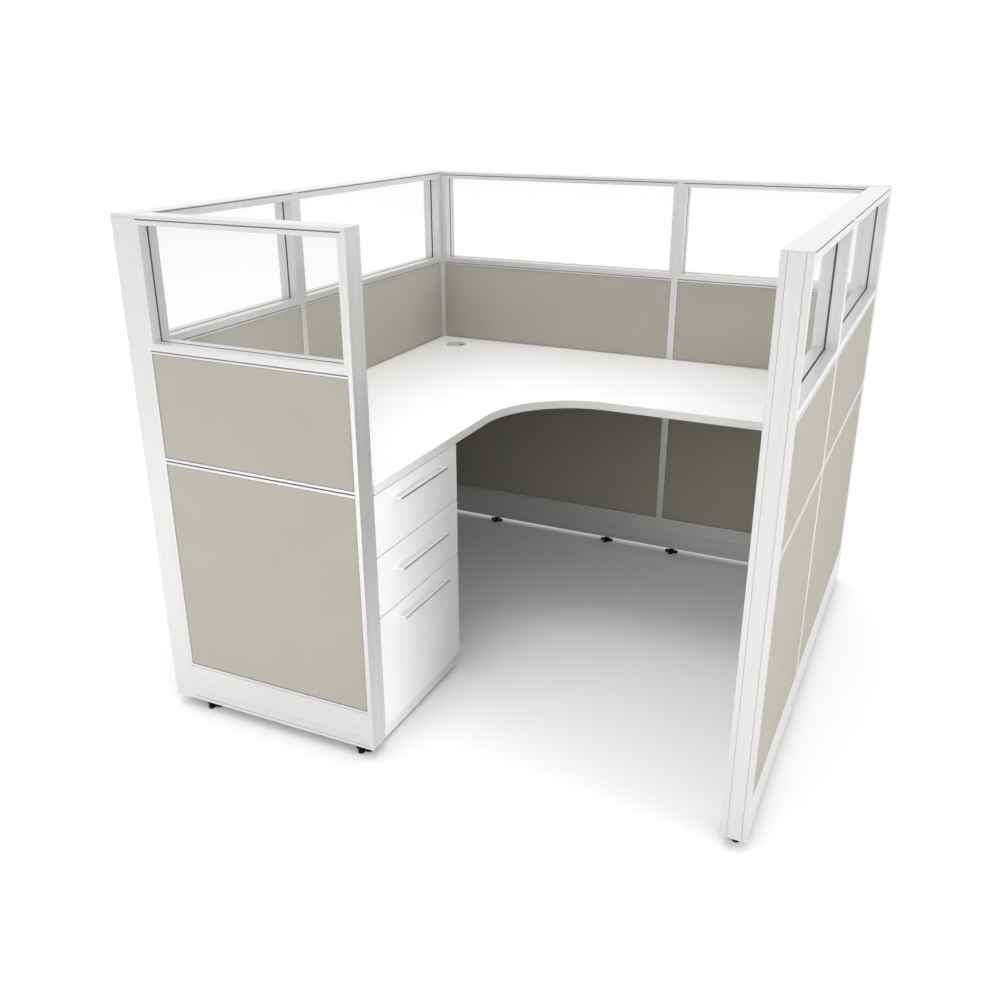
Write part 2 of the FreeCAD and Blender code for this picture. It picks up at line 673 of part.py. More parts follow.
def bracket_screws():
    """Places of every screw that goes through a bracket."""
    places = corner_screw_places()
    for along, across in bracket_screw_places():
        places.append((PANEL_THICKNESS + along, PANEL_THICKNESS + NARROW_BAY + across))
        places.append((PANEL_THICKNESS + WIDE_BAY + across, FAR_FACE - along))
        places.append((RIGHT_BRACKET_X - across, FAR_FACE - along))
    return places


def boss_places():
    """Places of the raised bosses on the pedestal's top."""
    return [(x, y) for x in (CASE_BACK + CASE_BOSS_INSET, CASE_FRONT - CASE_BOSS_INSET)
            for y in (CASE_LEFT + CASE_BOSS_INSET, CASE_RIGHT - CASE_BOSS_INSET)]


def screw(x, y, seat):
    """Screw driven up into the worktop, with its head under a seat."""
    head = prism(SCREW_HEAD_RADIUS, SCREW_SIDES, x, y, seat - SCREW_HEAD_HEIGHT, seat)
    return head.fuse(prism(SCREW_RADIUS, SCREW_SIDES, x, y, seat, WORKTOP_UNDERSIDE + SCREW_BITE))


def fixing_screws():
    """Screws through every bracket and through the pedestal's bosses."""
    screws = [screw(x, y, WORKTOP_UNDERSIDE - BRACKET_PLATE) for x, y in bracket_screws()]
    screws += [screw(x, y, CASE_TOP - CASE_WALL) for x, y in boss_places()]
    return screws


def ring(outer, inner, bottom, top):
    """A round ring on the grommet's axis, in many small sides."""
    solid = prism(outer, GROMMET_SIDES, GROMMET_X, GROMMET_Y, bottom, top)
    return solid.cut(prism(inner, GROMMET_SIDES, GROMMET_X, GROMMET_Y, bottom, top))


def grommet_liner():
    """Sleeve through the worktop with a flange round a recess for the cap."""
    top = WORKTOP_HEIGHT + GROMMET_FLANGE_HEIGHT
    sleeve_radius = GROMMET_HOLE_RADIUS - SEAT_GAP
    sleeve = ring(sleeve_radius, sleeve_radius - GROMMET_WALL, WORKTOP_UNDERSIDE, WORKTOP_HEIGHT)
    ledge = ring(GROMMET_FLANGE_RADIUS, sleeve_radius - GROMMET_WALL, WORKTOP_HEIGHT,
                 top - GROMMET_CAP_THICKNESS)
    rim = ring(GROMMET_FLANGE_RADIUS, GROMMET_FLANGE_RADIUS - GROMMET_RIM, WORKTOP_HEIGHT, top)
    return sleeve.fuse(ledge).fuse(rim).removeSplitter()


def grommet_cap():
    """Turning cap with a skirt inside the sleeve and a slot for cords at its rim."""
    top = WORKTOP_HEIGHT + GROMMET_FLANGE_HEIGHT
    bottom = top - GROMMET_CAP_THICKNESS + RUNNING_GAP
    disc_radius = GROMMET_FLANGE_RADIUS - GROMMET_RIM - RUNNING_GAP
    skirt_radius = GROMMET_HOLE_RADIUS - SEAT_GAP - GROMMET_WALL - RUNNING_GAP
    disc = prism(disc_radius, GROMMET_SIDES, GROMMET_X, GROMMET_Y, bottom, top)
    skirt = ring(skirt_radius, skirt_radius - GROMMET_WALL, bottom - GROMMET_SKIRT_DEPTH, bottom)
    slot_start = GROMMET_X + skirt_radius - CORD_SLOT_DEPTH
    slot = block((slot_start, slot_start + GROMMET_FLANGE_RADIUS),
                 (GROMMET_Y - CORD_SLOT_WIDTH / 2, GROMMET_Y + CORD_SLOT_WIDTH / 2),
                 (bottom - GROMMET_SKIRT_DEPTH - OVERRUN, top + OVERRUN))
    return disc.fuse(skirt).cut(slot)


def pedestal_case():
    """Steel case: open at the front, raised floor over a plinth, bosses under the worktop."""
    outer = block((CASE_BACK, CASE_FRONT), (CASE_LEFT, CASE_RIGHT), (CASE_FLOOR_GAP, CASE_TOP))
    across = (CASE_LEFT + CASE_WALL, CASE_RIGHT - CASE_WALL)
    inside = (CASE_BACK + CASE_WALL, CASE_FRONT - CASE_WALL)
    room = block(inside, across, (PLINTH_HEIGHT, CASE_TOP - CASE_WALL))
    mouth = block((CASE_FRONT - CASE_WALL - OVERRUN, CASE_FRONT + OVERRUN), across,
                  (PLINTH_HEIGHT, CASE_TOP - CASE_FLANGE))
    under = block(inside, across, (CASE_FLOOR_GAP - OVERRUN, PLINTH_HEIGHT - CASE_WALL))
    solid = outer.cut(room).cut(mouth).cut(under)
    for x, y in boss_places():
        boss = prism(CASE_BOSS_RADIUS, PAD_SIDES, x, y, CASE_TOP, WORKTOP_UNDERSIDE)
        hole = prism(SCREW_HOLE_RADIUS, SCREW_SIDES, x, y, CASE_TOP - CASE_WALL - OVERRUN,
                     WORKTOP_UNDERSIDE + OVERRUN)
        solid = solid.fuse(boss).cut(hole)
    return solid


class Drawer:
    """One drawer of the pedestal: its front, box, pull and the slides that carry it."""

    def __init__(self, name, bottom, front_height, headroom, pull_drop, holds_files):
        self.name = name
        self.bottom = bottom
        self.top = bottom + front_height
        self.headroom = headroom
        self.pull_drop = pull_drop
        self.holds_files = holds_files

    def slide_level(self):
        """Height of the middle of the slides."""
        return self.bottom + BOX_LIFT + SLIDE_HEIGHT

    def front(self):
        """Overlay front with softened edges."""
        solid = block((FRONT_BACK, FRONT_FACE), (CASE_LEFT, CASE_RIGHT), (self.bottom, self.top))
        return solid.makeChamfer(FRONT_EDGE_EASE, edges_on(solid, ALONG_X, FRONT_FACE))

    def box(self):
        """Folded steel box, open above, with an inward hem or rails for hanging files."""
        half = PEDESTAL_WIDTH / 2 - CASE_WALL - SLIDE_WIDTH - SEAT_GAP
        low = self.bottom + BOX_LIFT
        high = self.top - self.headroom
        sides = (CASE_MIDDLE - half, CASE_MIDDLE + half)
        ends = (SLIDE_BACK, FRONT_BACK)
        room = [(edge[0] + BOX_WALL, edge[1] - BOX_WALL) for edge in (ends, sides)]
        solid = block(ends, sides, (low, high)).cut(block(*room, (low + BOX_WALL, high - BOX_WALL)))
        lid_hole = [(edge[0] + BOX_HEM, edge[1] - BOX_HEM) for edge in (ends, sides)]
        solid = solid.cut(block(*lid_hole, (high - BOX_WALL - OVERRUN, high + OVERRUN)))
        if self.holds_files:
            for rail_start in (sides[0] + BOX_HEM, sides[1] - BOX_HEM - FILE_RAIL_THICKNESS):
                rail = block((ends[0] + BOX_WALL, ends[1] - BOX_WALL),
                             (rail_start, rail_start + FILE_RAIL_THICKNESS),
                             (high - FILE_RAIL_HEIGHT, high))
                solid = solid.fuse(rail)
        return solid

    def pull(self):
        """Flat bar pull whose two ends turn back to the front."""
        level = self.top - self.pull_drop
        out = FRONT_FACE + PULL_PROJECTION
        half = PULL_LENGTH / 2
        across = (CASE_MIDDLE - half, CASE_MIDDLE + half)
        height = (level - PULL_THICKNESS / 2, level + PULL_THICKNESS / 2)
        bar = block((FRONT_FACE, out), across, height)
        bar = bar.makeChamfer(PULL_EDGE_EASE, edges_on(bar, ALONG_X, out))
        grip = block((FRONT_FACE - OVERRUN, out - PULL_WIDTH),
                     (across[0] + PULL_WIDTH, across[1] - PULL_WIDTH),
                     (height[0] - OVERRUN, height[1] + OVERRUN))
        return bar.cut(grip)

    def on_both_sides(self, outline, start=SLIDE_BACK, end=SLIDE_FRONT):
        """Run a slide section along the left of the pedestal, with its twin on the right."""
        points = [(CASE_LEFT + CASE_WALL + y, self.slide_level() + z) for y, z in outline]
        left = running_bar(points, start, end)
        return [left, mirrored(left, CASE_MIDDLE, ALONG_Y)]


def member_outline(web, half_height):
    """Channel section of a slide member, from its web to flanges whose lips curl in."""
    lip = half_height - SLIDE_WALL - RETAINER_THICKNESS
    path = [(SLIDE_FLANGE, -lip), (SLIDE_FLANGE, -half_height), (web, -half_height),
            (web, half_height), (SLIDE_FLANGE, half_height), (SLIDE_FLANGE, lip)]
    return folded_outline(path, SLIDE_WALL)


def retainer_outlines(web, low):
    """Strips of ball retainer above and below, each on one face of the middle member."""
    high = low + RETAINER_THICKNESS
    reach = SLIDE_FLANGE - SLIDE_WALL - RUNNING_GAP
    return [[(web, side * low), (reach, side * low), (reach, side * high), (web, side * high)]
            for side in (1, -1)]


SLIDE_HALF = SLIDE_HEIGHT / 2
MIDDLE_HALF = SLIDE_HALF - SLIDE_WALL - RETAINER_THICKNESS - RUNNING_GAP
INNER_HALF = MIDDLE_HALF - SLIDE_WALL - RETAINER_THICKNESS - RUNNING_GAP
INNER_WEB = SLIDE_WEB_STEP + SLIDE_WALL + RUNNING_GAP


def case_member_outline():
    """Outer member, screwed to the case wall."""
    return member_outline(0, SLIDE_HALF)


def middle_member(drawer):
    """Middle member with ball retainers outside its rear end and inside its front end."""
    pieces = drawer.on_both_sides(member_outline(SLIDE_WEB_STEP, MIDDLE_HALF))
    for outline in retainer_outlines(SLIDE_WEB_STEP, MIDDLE_HALF):
        pieces += drawer.on_both_sides(outline, end=SLIDE_BACK + RETAINER_LENGTH)
    for outline in retainer_outlines(INNER_WEB, INNER_HALF + RUNNING_GAP):
        pieces += drawer.on_both_sides(outline, start=SLIDE_FRONT - RETAINER_LENGTH)
    return pieces


def inner_member(drawer):
    """Inner member, its web on the drawer box and its flanges nested in the middle one."""
    path = [(INNER_WEB, INNER_HALF), (SLIDE_WIDTH, INNER_HALF), (SLIDE_WIDTH, -INNER_HALF),
            (INNER_WEB, -INNER_HALF)]
    return drawer.on_both_sides(folded_outline(path, SLIDE_WALL))


FILE_FRONT_HEIGHT = CASE_TOP - PLINTH_HEIGHT - 2 * (BOX_FRONT_HEIGHT + FRONT_GAP)
MIDDLE_FRONT_BOTTOM = PLINTH_HEIGHT + FILE_FRONT_HEIGHT + FRONT_GAP
TOP_FRONT_BOTTOM = MIDDLE_FRONT_BOTTOM + BOX_FRONT_HEIGHT + FRONT_GAP
DRAWERS = [
    Drawer("top_drawer", TOP_FRONT_BOTTOM, BOX_FRONT_HEIGHT, BOX_HEADROOM, TOP_PULL_DROP, False),
    Drawer("middle_drawer", MIDDLE_FRONT_BOTTOM, BOX_FRONT_HEIGHT, BOX_HEADROOM,
           MIDDLE_PULL_DROP, False),
    Drawer("file_drawer", PLINTH_HEIGHT, FILE_FRONT_HEIGHT, FILE_BOX_HEADROOM, FILE_PULL_DROP,
           True),
]


def wall_nodes(wall):
    """Named groups of solids that make up one wall."""
    groups = {"frame": [], "trim": [], "tiles_outer": [], "tiles_inner": [], "glass_frame": [],
              "glass": []}
    for start, width in zip(wall.bay_starts(), wall.bays):
        outer_tiles = bay_tiles(width)
        inner_tiles = [mirrored(piece, PANEL_THICKNESS / 2, ALONG_Y) for piece in outer_tiles]
        groups["frame"] += moved([bay_frame(width)], start)
        groups["trim"] += moved(bay_trim(width, wall.cap_height), start)
        groups["tiles_outer"] += moved(outer_tiles, start)
        groups["tiles_inner"] += moved(inner_tiles, start)
        groups["glass_frame"] += moved(glass_frame(width, wall.cap_height), start)
        groups["glass"] += moved([pane(width)], start)
    groups["top_cap"] = [top_cap(wall)]
    return {f"{wall.name}_{part}": [wall.placed(piece) for piece in pieces]
            for part, pieces in groups.items()}


def shared_wall_nodes():
    """Groups that run through all the walls: covers, gaskets and strips."""
    covers = {"base_covers_outer": [], "base_covers_inner": []}
    gaskets = []
    strips = []
    ends = []
    for wall in WALLS:
        for start, width in zip(wall.bay_starts(), wall.bays):
            outer, inner = moved(on_both_faces(base_cover(width)), start)
            covers["base_covers_outer"].append(wall.placed(outer))
            covers["base_covers_inner"].append(wall.placed(inner))
            gaskets += [wall.placed(piece) for piece in moved([gasket(width)], start)]
        strips += [wall.placed(piece) for piece in joining_strips(wall)]
        if wall.free_end is not None:
            ends.append(wall.placed(end_strip(wall)))
    return {**covers, "glazing_gaskets": gaskets, "joining_strips": strips, "end_strips": ends}


def drawer_nodes(drawer):
    """Named groups of solids that make up one drawer and its slides."""
    return {f"{drawer.name}_front": [drawer.front()], f"{drawer.name}_box": [drawer.box()],
            f"{drawer.name}_pull": [drawer.pull()],
            f"{drawer.name}_slide_inner": inner_member(drawer),
            f"{drawer.name}_slide_middle": middle_member(drawer)}


def all_nodes():
    """Every node of the workstation with its solids."""
    nodes = {}
    for wall in WALLS:
        nodes.update(wall_nodes(wall))
    nodes.update(shared_wall_nodes())
    nodes.update({name: [corner_post(corner)] for name, corner in POSTS.items()})
    nodes["post_caps"] = [post_cap(corner) for corner in POSTS.values()]
    nodes["levelling_glides"] = levelling_glides()
    nodes["worktop"] = [worktop()]
    nodes["worktop_brackets"] = worktop_brackets()
    nodes["fixing_screws"] = fixing_screws()
    nodes["grommet_liner"] = [grommet_liner()]
    nodes["grommet_cap"] = [grommet_cap()]
    nodes["pedestal_case"] = [pedestal_case()]
    nodes["slide_case_members"] = [piece for drawer in DRAWERS
                                   for piece in drawer.on_both_sides(case_member_outline())]
    for drawer in DRAWERS:
        nodes.update(drawer_nodes(drawer))
    return nodes


def main():
    """Write each node as one file, with the origin in the middle of the footprint."""
    os.makedirs("parts", exist_ok=True)
    to_origin = FreeCAD.Vector(-FOOTPRINT / 2, -FOOTPRINT / 2, 0)
    for name, solids in all_nodes().items():
        shape = Part.Compound(solids) if len(solids) > 1 else solids[0]
        shape.translate(to_origin)
        shape.exportStep(f"parts/{name}.step")
        print(name, len(shape.Solids), shape.isValid())


main()
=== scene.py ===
"""A glazed cubicle workstation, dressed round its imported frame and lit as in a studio."""

import logging
import math
from dataclasses import dataclass
from enum import Enum
from typing import Callable, ClassVar, Iterable, Sequence

import bmesh
import bpy
from mathutils import Matrix, Vector


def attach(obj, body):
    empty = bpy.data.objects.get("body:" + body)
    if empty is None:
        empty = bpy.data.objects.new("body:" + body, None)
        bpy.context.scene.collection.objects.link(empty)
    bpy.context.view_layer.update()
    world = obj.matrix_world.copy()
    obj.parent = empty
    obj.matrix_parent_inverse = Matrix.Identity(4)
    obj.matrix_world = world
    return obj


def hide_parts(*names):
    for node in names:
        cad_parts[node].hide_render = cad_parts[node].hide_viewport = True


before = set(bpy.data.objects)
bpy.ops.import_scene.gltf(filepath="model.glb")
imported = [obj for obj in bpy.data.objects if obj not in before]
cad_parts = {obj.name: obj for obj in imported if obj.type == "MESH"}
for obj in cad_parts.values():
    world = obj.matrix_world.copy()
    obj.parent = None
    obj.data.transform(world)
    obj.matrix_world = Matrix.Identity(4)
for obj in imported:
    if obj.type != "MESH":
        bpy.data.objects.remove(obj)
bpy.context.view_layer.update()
log = logging.getLogger("workstation")

Pair = tuple[float, float]
Triple = tuple[float, float, float]
Colour = tuple[float, float, float]
Verts = list[bmesh.types.BMVert]

# Every length below is in millimetres, from the outer corner of the front left post, apart
# from those of the finishes and the studio, which are in metres
MM = 0.001
FOOTPRINT = 1600.0
PANEL = 60.0
INNER = FOOTPRINT - PANEL
NARROW = 590.0
WIDE = 890.0
THICK_CAP = 9.0
THIN_CAP = 3.0
BODY = "workstation"
TO_METRES = Matrix.Scale(MM, 4) @ Matrix.Translation((-FOOTPRINT / 2, -FOOTPRINT / 2, 0.0))
BEVEL_ANGLE = math.radians(30.0)
CREASE_ANGLE = math.radians(38.0)
FLAT_ANGLE = math.radians(1.0)
FILL_ANGLE = 0.02
WELD = 0.005
SPIN_WELD = 0.001
LEVEL_SLACK = 0.01
NOISE_SPAN = (0.3, 0.7)
ROUND_STEPS = 3
GROMMET_PLACE = (170.0, 1430.0)

# Cosines: of an edge that follows its run, a face turned one way, and the least level face
ALONG = 0.999
FACING = 0.9
STEEP = 0.75


class Run(Enum):
    """The axis that a bar runs along, first, and then the two axes of its outline."""

    X = (0, 1, 2)
    Y = (1, 0, 2)
    Z = (2, 0, 1)

    def point(self, along: float, across: float, up: float) -> Vector:
        """A point from its place along the run and in the outline.

        Args:
            along: Its place along the run.
            across: Its place on the outline's first axis.
            up: Its place on the outline's second axis.

        Returns:
            The point.
        """
        place = Vector()
        for axis, value in zip(self.value, (along, across, up)):
            place[axis] = value
        return place


# ---------------------------------------------------------------- shader maths


class Wire:
    """A socket that can be calculated with: each operator adds its Math node."""

    def __init__(self, paint: "Paint", socket: bpy.types.NodeSocket) -> None:
        """Hold an output socket and the tree that it is in."""
        self.paint = paint
        self.socket = socket

    def _with(self, operation: str, first: "Wire | float", second: "Wire | float") -> "Wire":
        """A Math node of an operation on two values."""
        return self.paint.node("ShaderNodeMath", {"operation": operation}, {0: first, 1: second})

    def __add__(self, other: "Wire | float") -> "Wire":
        """Sum."""
        return self._with("ADD", self, other)

    def __mul__(self, other: "Wire | float") -> "Wire":
        """Product."""
        return self._with("MULTIPLY", self, other)

    def __pow__(self, other: float) -> "Wire":
        """Power."""
        return self._with("POWER", self, other)

    def greatest(self, other: "Wire | float") -> "Wire":
        """The greater of two values."""
        return self._with("MAXIMUM", self, other)

    def sine(self) -> "Wire":
        """Sine of an angle in radians."""
        return self._with("SINE", self, 0.0)

    def clear_of_zero(self) -> "Wire":
        """Size without its sign."""
        return self._with("ABSOLUTE", self, 0.0)

    __radd__ = __add__
    __rmul__ = __mul__


class Paint:
    """The node tree of one material or world, with one method that adds any node."""

    def __init__(self, owner: bpy.types.Material | bpy.types.World) -> None:
        """Start an empty node tree.

        Args:
            owner: The material or world that has the tree.
        """
        owner.use_nodes = True
        self.kind = "World" if isinstance(owner, bpy.types.World) else "Material"
        self.tree = owner.node_tree
        self.tree.nodes.clear()

    def node(self, kind: str, settings: dict | None = None, inputs: dict | None = None,
             output: str | int = 0) -> Wire:
        """Add a node.

        Args:
            kind: The node's type name.
            settings: Its own properties, set before its sockets.
            inputs: Values or wires by socket name or number.
            output: The output socket that is wanted.

        Returns:
            The output as a wire.
        """
        made = self.tree.nodes.new(kind)
        for name, value in (settings or {}).items():
            setattr(made, name, value)
        for key, value in (inputs or {}).items():
            if isinstance(value, Wire):
                self.tree.links.new(value.socket, made.inputs[key])
            else:
                made.inputs[key].default_value = value
        return Wire(self, made.outputs[output] if made.outputs else None)

    def place(self) -> Wire:
        """Object coordinates, in metres."""
        return self.node("ShaderNodeTexCoord", output="Object")

    def stretched(self, scale: Triple) -> Wire:
        """Object coordinates, scaled on each axis."""
        return self.node("ShaderNodeMapping", inputs={"Vector": self.place(), "Scale": scale})

    def noise(self, vector: Wire, scale: float = 1.0, detail: float = 2.0,
              roughness: float = 0.5) -> Wire:
        """Noise from about 0 to 1."""
        return self.node("ShaderNodeTexNoise", {}, {"Vector": vector, "Scale": scale,
                                                   "Detail": detail, "Roughness": roughness})

    def between(self, factor: Wire, low: Colour, high: Colour) -> Wire:
        """Mix of two colours."""
        return self.node("ShaderNodeMix", {"data_type": "RGBA"},
                         {0: factor, 6: (*low, 1.0), 7: (*high, 1.0)}, 2)

    def graded(self, value: Wire, low: Pair, high: Pair) -> Wire:
        """Map a value from one span to another, without passing its ends.

        Args:
            value: The value.
            low: A value and what it becomes.
            high: A greater value and what it becomes.

        Returns:
            What the value becomes.
        """
        return self.node("ShaderNodeMapRange", {"clamp": True},
                         {"Value": value, "From Min": low[0], "From Max": high[0],
                          "To Min": low[1], "To Max": high[1]})

    def varied(self, value: Wire, colour: Colour, shares: Pair, span: Pair = NOISE_SPAN) -> Wire:
        """A colour that goes from one share off its middle to another over a value's span."""
        factor = self.graded(value, (span[0], 0.0), (span[1], 1.0))
        return self.between(factor, tinted(colour, shares[0]), tinted(colour, shares[1]))

    def rough(self, value: Wire, middle: float, steps: Pair, span: Pair = NOISE_SPAN) -> Wire:
        """A roughness that goes from one step off its middle to another over a value's span."""
        return self.graded(value, (span[0], middle + steps[0]), (span[1], middle + steps[1]))

    def raised(self, height: Wire, distance: float) -> Wire:
        """Bump from a height in metres times a distance."""
        return self.node("ShaderNodeBump", {}, {"Height": height, "Distance": distance,
                                               "Strength": 1.0})

    def seen_directly(self) -> Wire:
        """One for what the camera sees, in metal and through glass too, and nothing for light.

        Returns:
            The greatest of the three light path outputs.
        """
        path = self.node("ShaderNodeLightPath")
        outputs = path.socket.node.outputs
        seen = [Wire(self, outputs[f"Is {kind} Ray"]) for kind in ("Camera", "Glossy",
                                                                  "Transmission")]
        return seen[0].greatest(seen[1]).greatest(seen[2])

    def surface(self, shader: Wire) -> None:
        """Connect the shader to the output."""
        self.node(f"ShaderNodeOutput{self.kind}", {}, {"Surface": shader})

    def principled(self, inputs: dict) -> Wire:
        """The standard surface shader."""
        return self.node("ShaderNodeBsdfPrincipled", {}, inputs)


def tinted(colour: Colour, share: float) -> Colour:
    """A colour made lighter or darker by a share."""
    return tuple(min(1.0, part * (1.0 + share)) for part in colour)


# -------------------------------------------------------------------- finishes


@dataclass(frozen=True)
class Finish:
    """A finish of the workstation. Each kind says how its material is made."""

    name: str
    slot: str
    made: ClassVar[dict] = {}

    def material(self) -> bpy.types.Material:
        """The finish's material, made at its first use.

        Returns:
            The material, which the pieces in this finish share.
        """
        if self not in Finish.made:
            material = bpy.data.materials.new(self.name)
            paint = Paint(material)
            paint.surface(self.shader(paint))
            Finish.made[self] = material
        return Finish.made[self]

    def shader(self, paint: Paint) -> Wire:
        """The finish's surface shader."""
        raise NotImplementedError


@dataclass(frozen=True)
class PowderCoat(Finish):
    """Paint baked on metal, with drawing lines of the metal showing faintly along the grain."""

    colour: Colour = (0.66, 0.66, 0.655)
    roughness: float = 0.36
    flake: float = 0.0
    streak: float = 0.035
    grain: Run = Run.Z
    pitch: float = 160.0
    slowness: float = 1.4
    peel: Pair = (700.0, 0.00006)
    patch_scale: float = 5.0
    patch_share: float = 0.6
    dulling: Pair = (-0.05, 0.07)
    coat: Pair = (0.12, 0.25)

    def shader(self, paint: Paint) -> Wire:
        """Streaks along the grain, a fine orange peel and slow patches of dullness.

        Args:
            paint: The material's node tree.

        Returns:
            The surface shader.
        """
        scale = [self.pitch] * 3
        scale[self.grain.value[0]] = self.slowness
        streaks = paint.noise(paint.stretched(tuple(scale)), detail=3.0, roughness=0.62)
        peel = paint.noise(paint.place(), self.peel[0], detail=1.0)
        patches = paint.noise(paint.place(), self.patch_scale)
        wear = patches * self.patch_share + streaks * (1.0 - self.patch_share)
        return paint.principled({
            "Base Color": paint.varied(streaks, self.colour, (-self.streak, self.streak)),
            "Roughness": paint.rough(wear, self.roughness, self.dulling),
            "Normal": paint.raised(peel, self.peel[1]), "Metallic": self.flake,
            "Coat Weight": self.coat[0], "Coat Roughness": self.coat[1]})


@dataclass(frozen=True)
class PanelCloth(Finish):
    """Plain-weave panel cloth: threads over and under at a fine pitch, with uneven yarn."""

    colour: Colour = (0.430, 0.407, 0.360)
    thread: float = 0.0011
    slub: Pair = (650.0, 22.0)
    patch_scale: float = 9.0
    shares: Triple = (0.5, 0.3, 0.35)
    span: Pair = (0.35, 0.85)
    contrast: float = 0.055
    roughness: float = 0.93
    height: float = 0.00018
    sheen: Pair = (0.12, 0.45)
    shine: float = 0.25

    def shader(self, paint: Paint) -> Wire:
        """Crossed threads on the plane of the panel, slubs along both, and a soft sheen.

        Args:
            paint: The material's node tree.

        Returns:
            The surface shader.
        """
        parts = paint.node("ShaderNodeSeparateXYZ", {}, {0: paint.place()})
        x, y, z = (Wire(paint, parts.socket.node.outputs[axis]) for axis in "XYZ")
        turn = math.pi / self.thread
        along = (x + y) * turn
        up = z * turn
        weave = along.sine() * up.sine()
        across, length = self.slub
        warp = paint.noise(paint.stretched((across, across, length)))
        weft = paint.noise(paint.stretched((length, length, across)))
        yarn = warp.greatest(weft) * self.shares[0]
        patches = paint.noise(paint.place(), self.patch_scale, detail=3.0)
        shade = yarn + weave.clear_of_zero() * self.shares[1] + patches * self.shares[2]
        return paint.principled({
            "Base Color": paint.varied(shade, self.colour, (-self.contrast, self.contrast),
                                       self.span),
            "Roughness": self.roughness,
            "Normal": paint.raised(weave.clear_of_zero() + yarn, self.height),
            "Sheen Weight": self.sheen[0], "Sheen Roughness": self.sheen[1],
            "Specular IOR Level": self.shine})


@dataclass(frozen=True)
class Laminate(Finish):
    """Pale laminate with a suede texture and a hardly visible mottle."""

    colour: Colour = (0.95, 0.95, 0.95)
    roughness: float = 0.37
    suede: Pair = (1400.0, 0.00002)
    mottle: Pair = (60.0, 0.012)
    wiping: Triple = (2.0, 9.0, 4.0)
    dulling: Pair = (-0.06, 0.08)

    def shader(self, paint: Paint) -> Wire:
        """Fine suede bump, faint mottle and slow changes of gloss, as from wiping.

        Args:
            paint: The material's node tree.

        Returns:
            The surface shader.
        """
        suede = paint.noise(paint.place(), self.suede[0], detail=1.0)
        mottle = paint.noise(paint.place(), self.mottle[0], detail=4.0, roughness=0.6)
        wiped = paint.noise(paint.stretched(self.wiping), detail=3.0)
        return paint.principled({
            "Base Color": paint.varied(mottle, self.colour, (-self.mottle[1], self.mottle[1])),
            "Roughness": paint.rough(wiped, self.roughness, self.dulling),
            "Normal": paint.raised(suede, self.suede[1])})


@dataclass(frozen=True)
class ClearGlass(Finish):
    """Clear float glass: a faint veil that thickens where it is seen along the pane."""

    colour: Colour = (0.30, 0.33, 0.32)
    veil: float = 0.05
    edge_veil: float = 0.35
    blend: float = 0.25
    smears: Triple = (3.0, 3.0, 9.0)
    smear_span: Pair = (0.4, 0.75)
    roughness: Pair = (0.02, 0.07)
    bending: float = 1.5
    falloff: float = 3.0

    def shader(self, paint: Paint) -> Wire:
        """Nearly transparent face on, with more reflection at a low angle and faint smears.

        Args:
            paint: The material's node tree.

        Returns:
            The surface shader.
        """
        facing = paint.node("ShaderNodeLayerWeight", {}, {"Blend": self.blend}, "Facing")
        smear = paint.noise(paint.stretched(self.smears), detail=3.0)
        return paint.principled({
            "Base Color": (*self.colour, 1.0),
            "Roughness": paint.rough(smear, 0.0, self.roughness, self.smear_span),
            "Alpha": (facing ** self.falloff) * self.edge_veil + self.veil, "IOR": self.bending})


@dataclass(frozen=True)
class Moulded(Finish):
    """Moulded plastic or rubber: a fine spark-eroded grain over one colour."""

    colour: Colour = (0.02, 0.02, 0.02)
    roughness: float = 0.55
    grain: float = 900.0
    depth: float = 0.00005
    shine: float = 0.5
    patch_scale: float = 30.0
    rubbing: Pair = (-0.10, 0.12)
    rubbed_span: Pair = (0.35, 0.7)
    gloss: Pair = (0.08, -0.08)

    def shader(self, paint: Paint) -> Wire:
        """Fine grain with slightly rubbed patches.

        Args:
            paint: The material's node tree.

        Returns:
            The surface shader.
        """
        grain = paint.noise(paint.place(), self.grain)
        rubbed = paint.noise(paint.place(), self.patch_scale, detail=3.0)
        return paint.principled({
            "Base Color": paint.varied(rubbed, self.colour, self.rubbing, self.rubbed_span),
            "Roughness": paint.rough(rubbed, self.roughness, self.gloss),
            "Specular IOR Level": self.shine, "Normal": paint.raised(grain, self.depth)})


@dataclass(frozen=True)
class BareMetal(Finish):
    """Bare or plated metal with fine lines along its grain."""

    colour: Colour = (0.70, 0.71, 0.72)
    roughness: float = 0.30
    grain: Run = Run.X
    metallic: float = 1.0
    lines: Pair = (900.0, 6.0)
    stain_scale: float = 25.0
    line_share: float = 0.6
    contrast: Pair = (-0.10, 0.08)
    gloss: Pair = (-0.06, 0.10)
    height: float = 0.00002

    def shader(self, paint: Paint) -> Wire:
        """Drawn lines along the grain in colour, gloss and a shallow bump.

        Args:
            paint: The material's node tree.

        Returns:
            The surface shader.
        """
        scale = [self.lines[0]] * 3
        scale[self.grain.value[0]] = self.lines[1]
        lines = paint.noise(paint.stretched(tuple(scale)), detail=3.0, roughness=0.6)
        stain = paint.noise(paint.place(), self.stain_scale, detail=3.0)
        shade = lines * self.line_share + stain * (1.0 - self.line_share)
        return paint.principled({
            "Base Color": paint.varied(shade, self.colour, self.contrast),
            "Metallic": self.metallic,
            "Roughness": paint.rough(lines, self.roughness, self.gloss),
            "Normal": paint.raised(lines, self.height)})


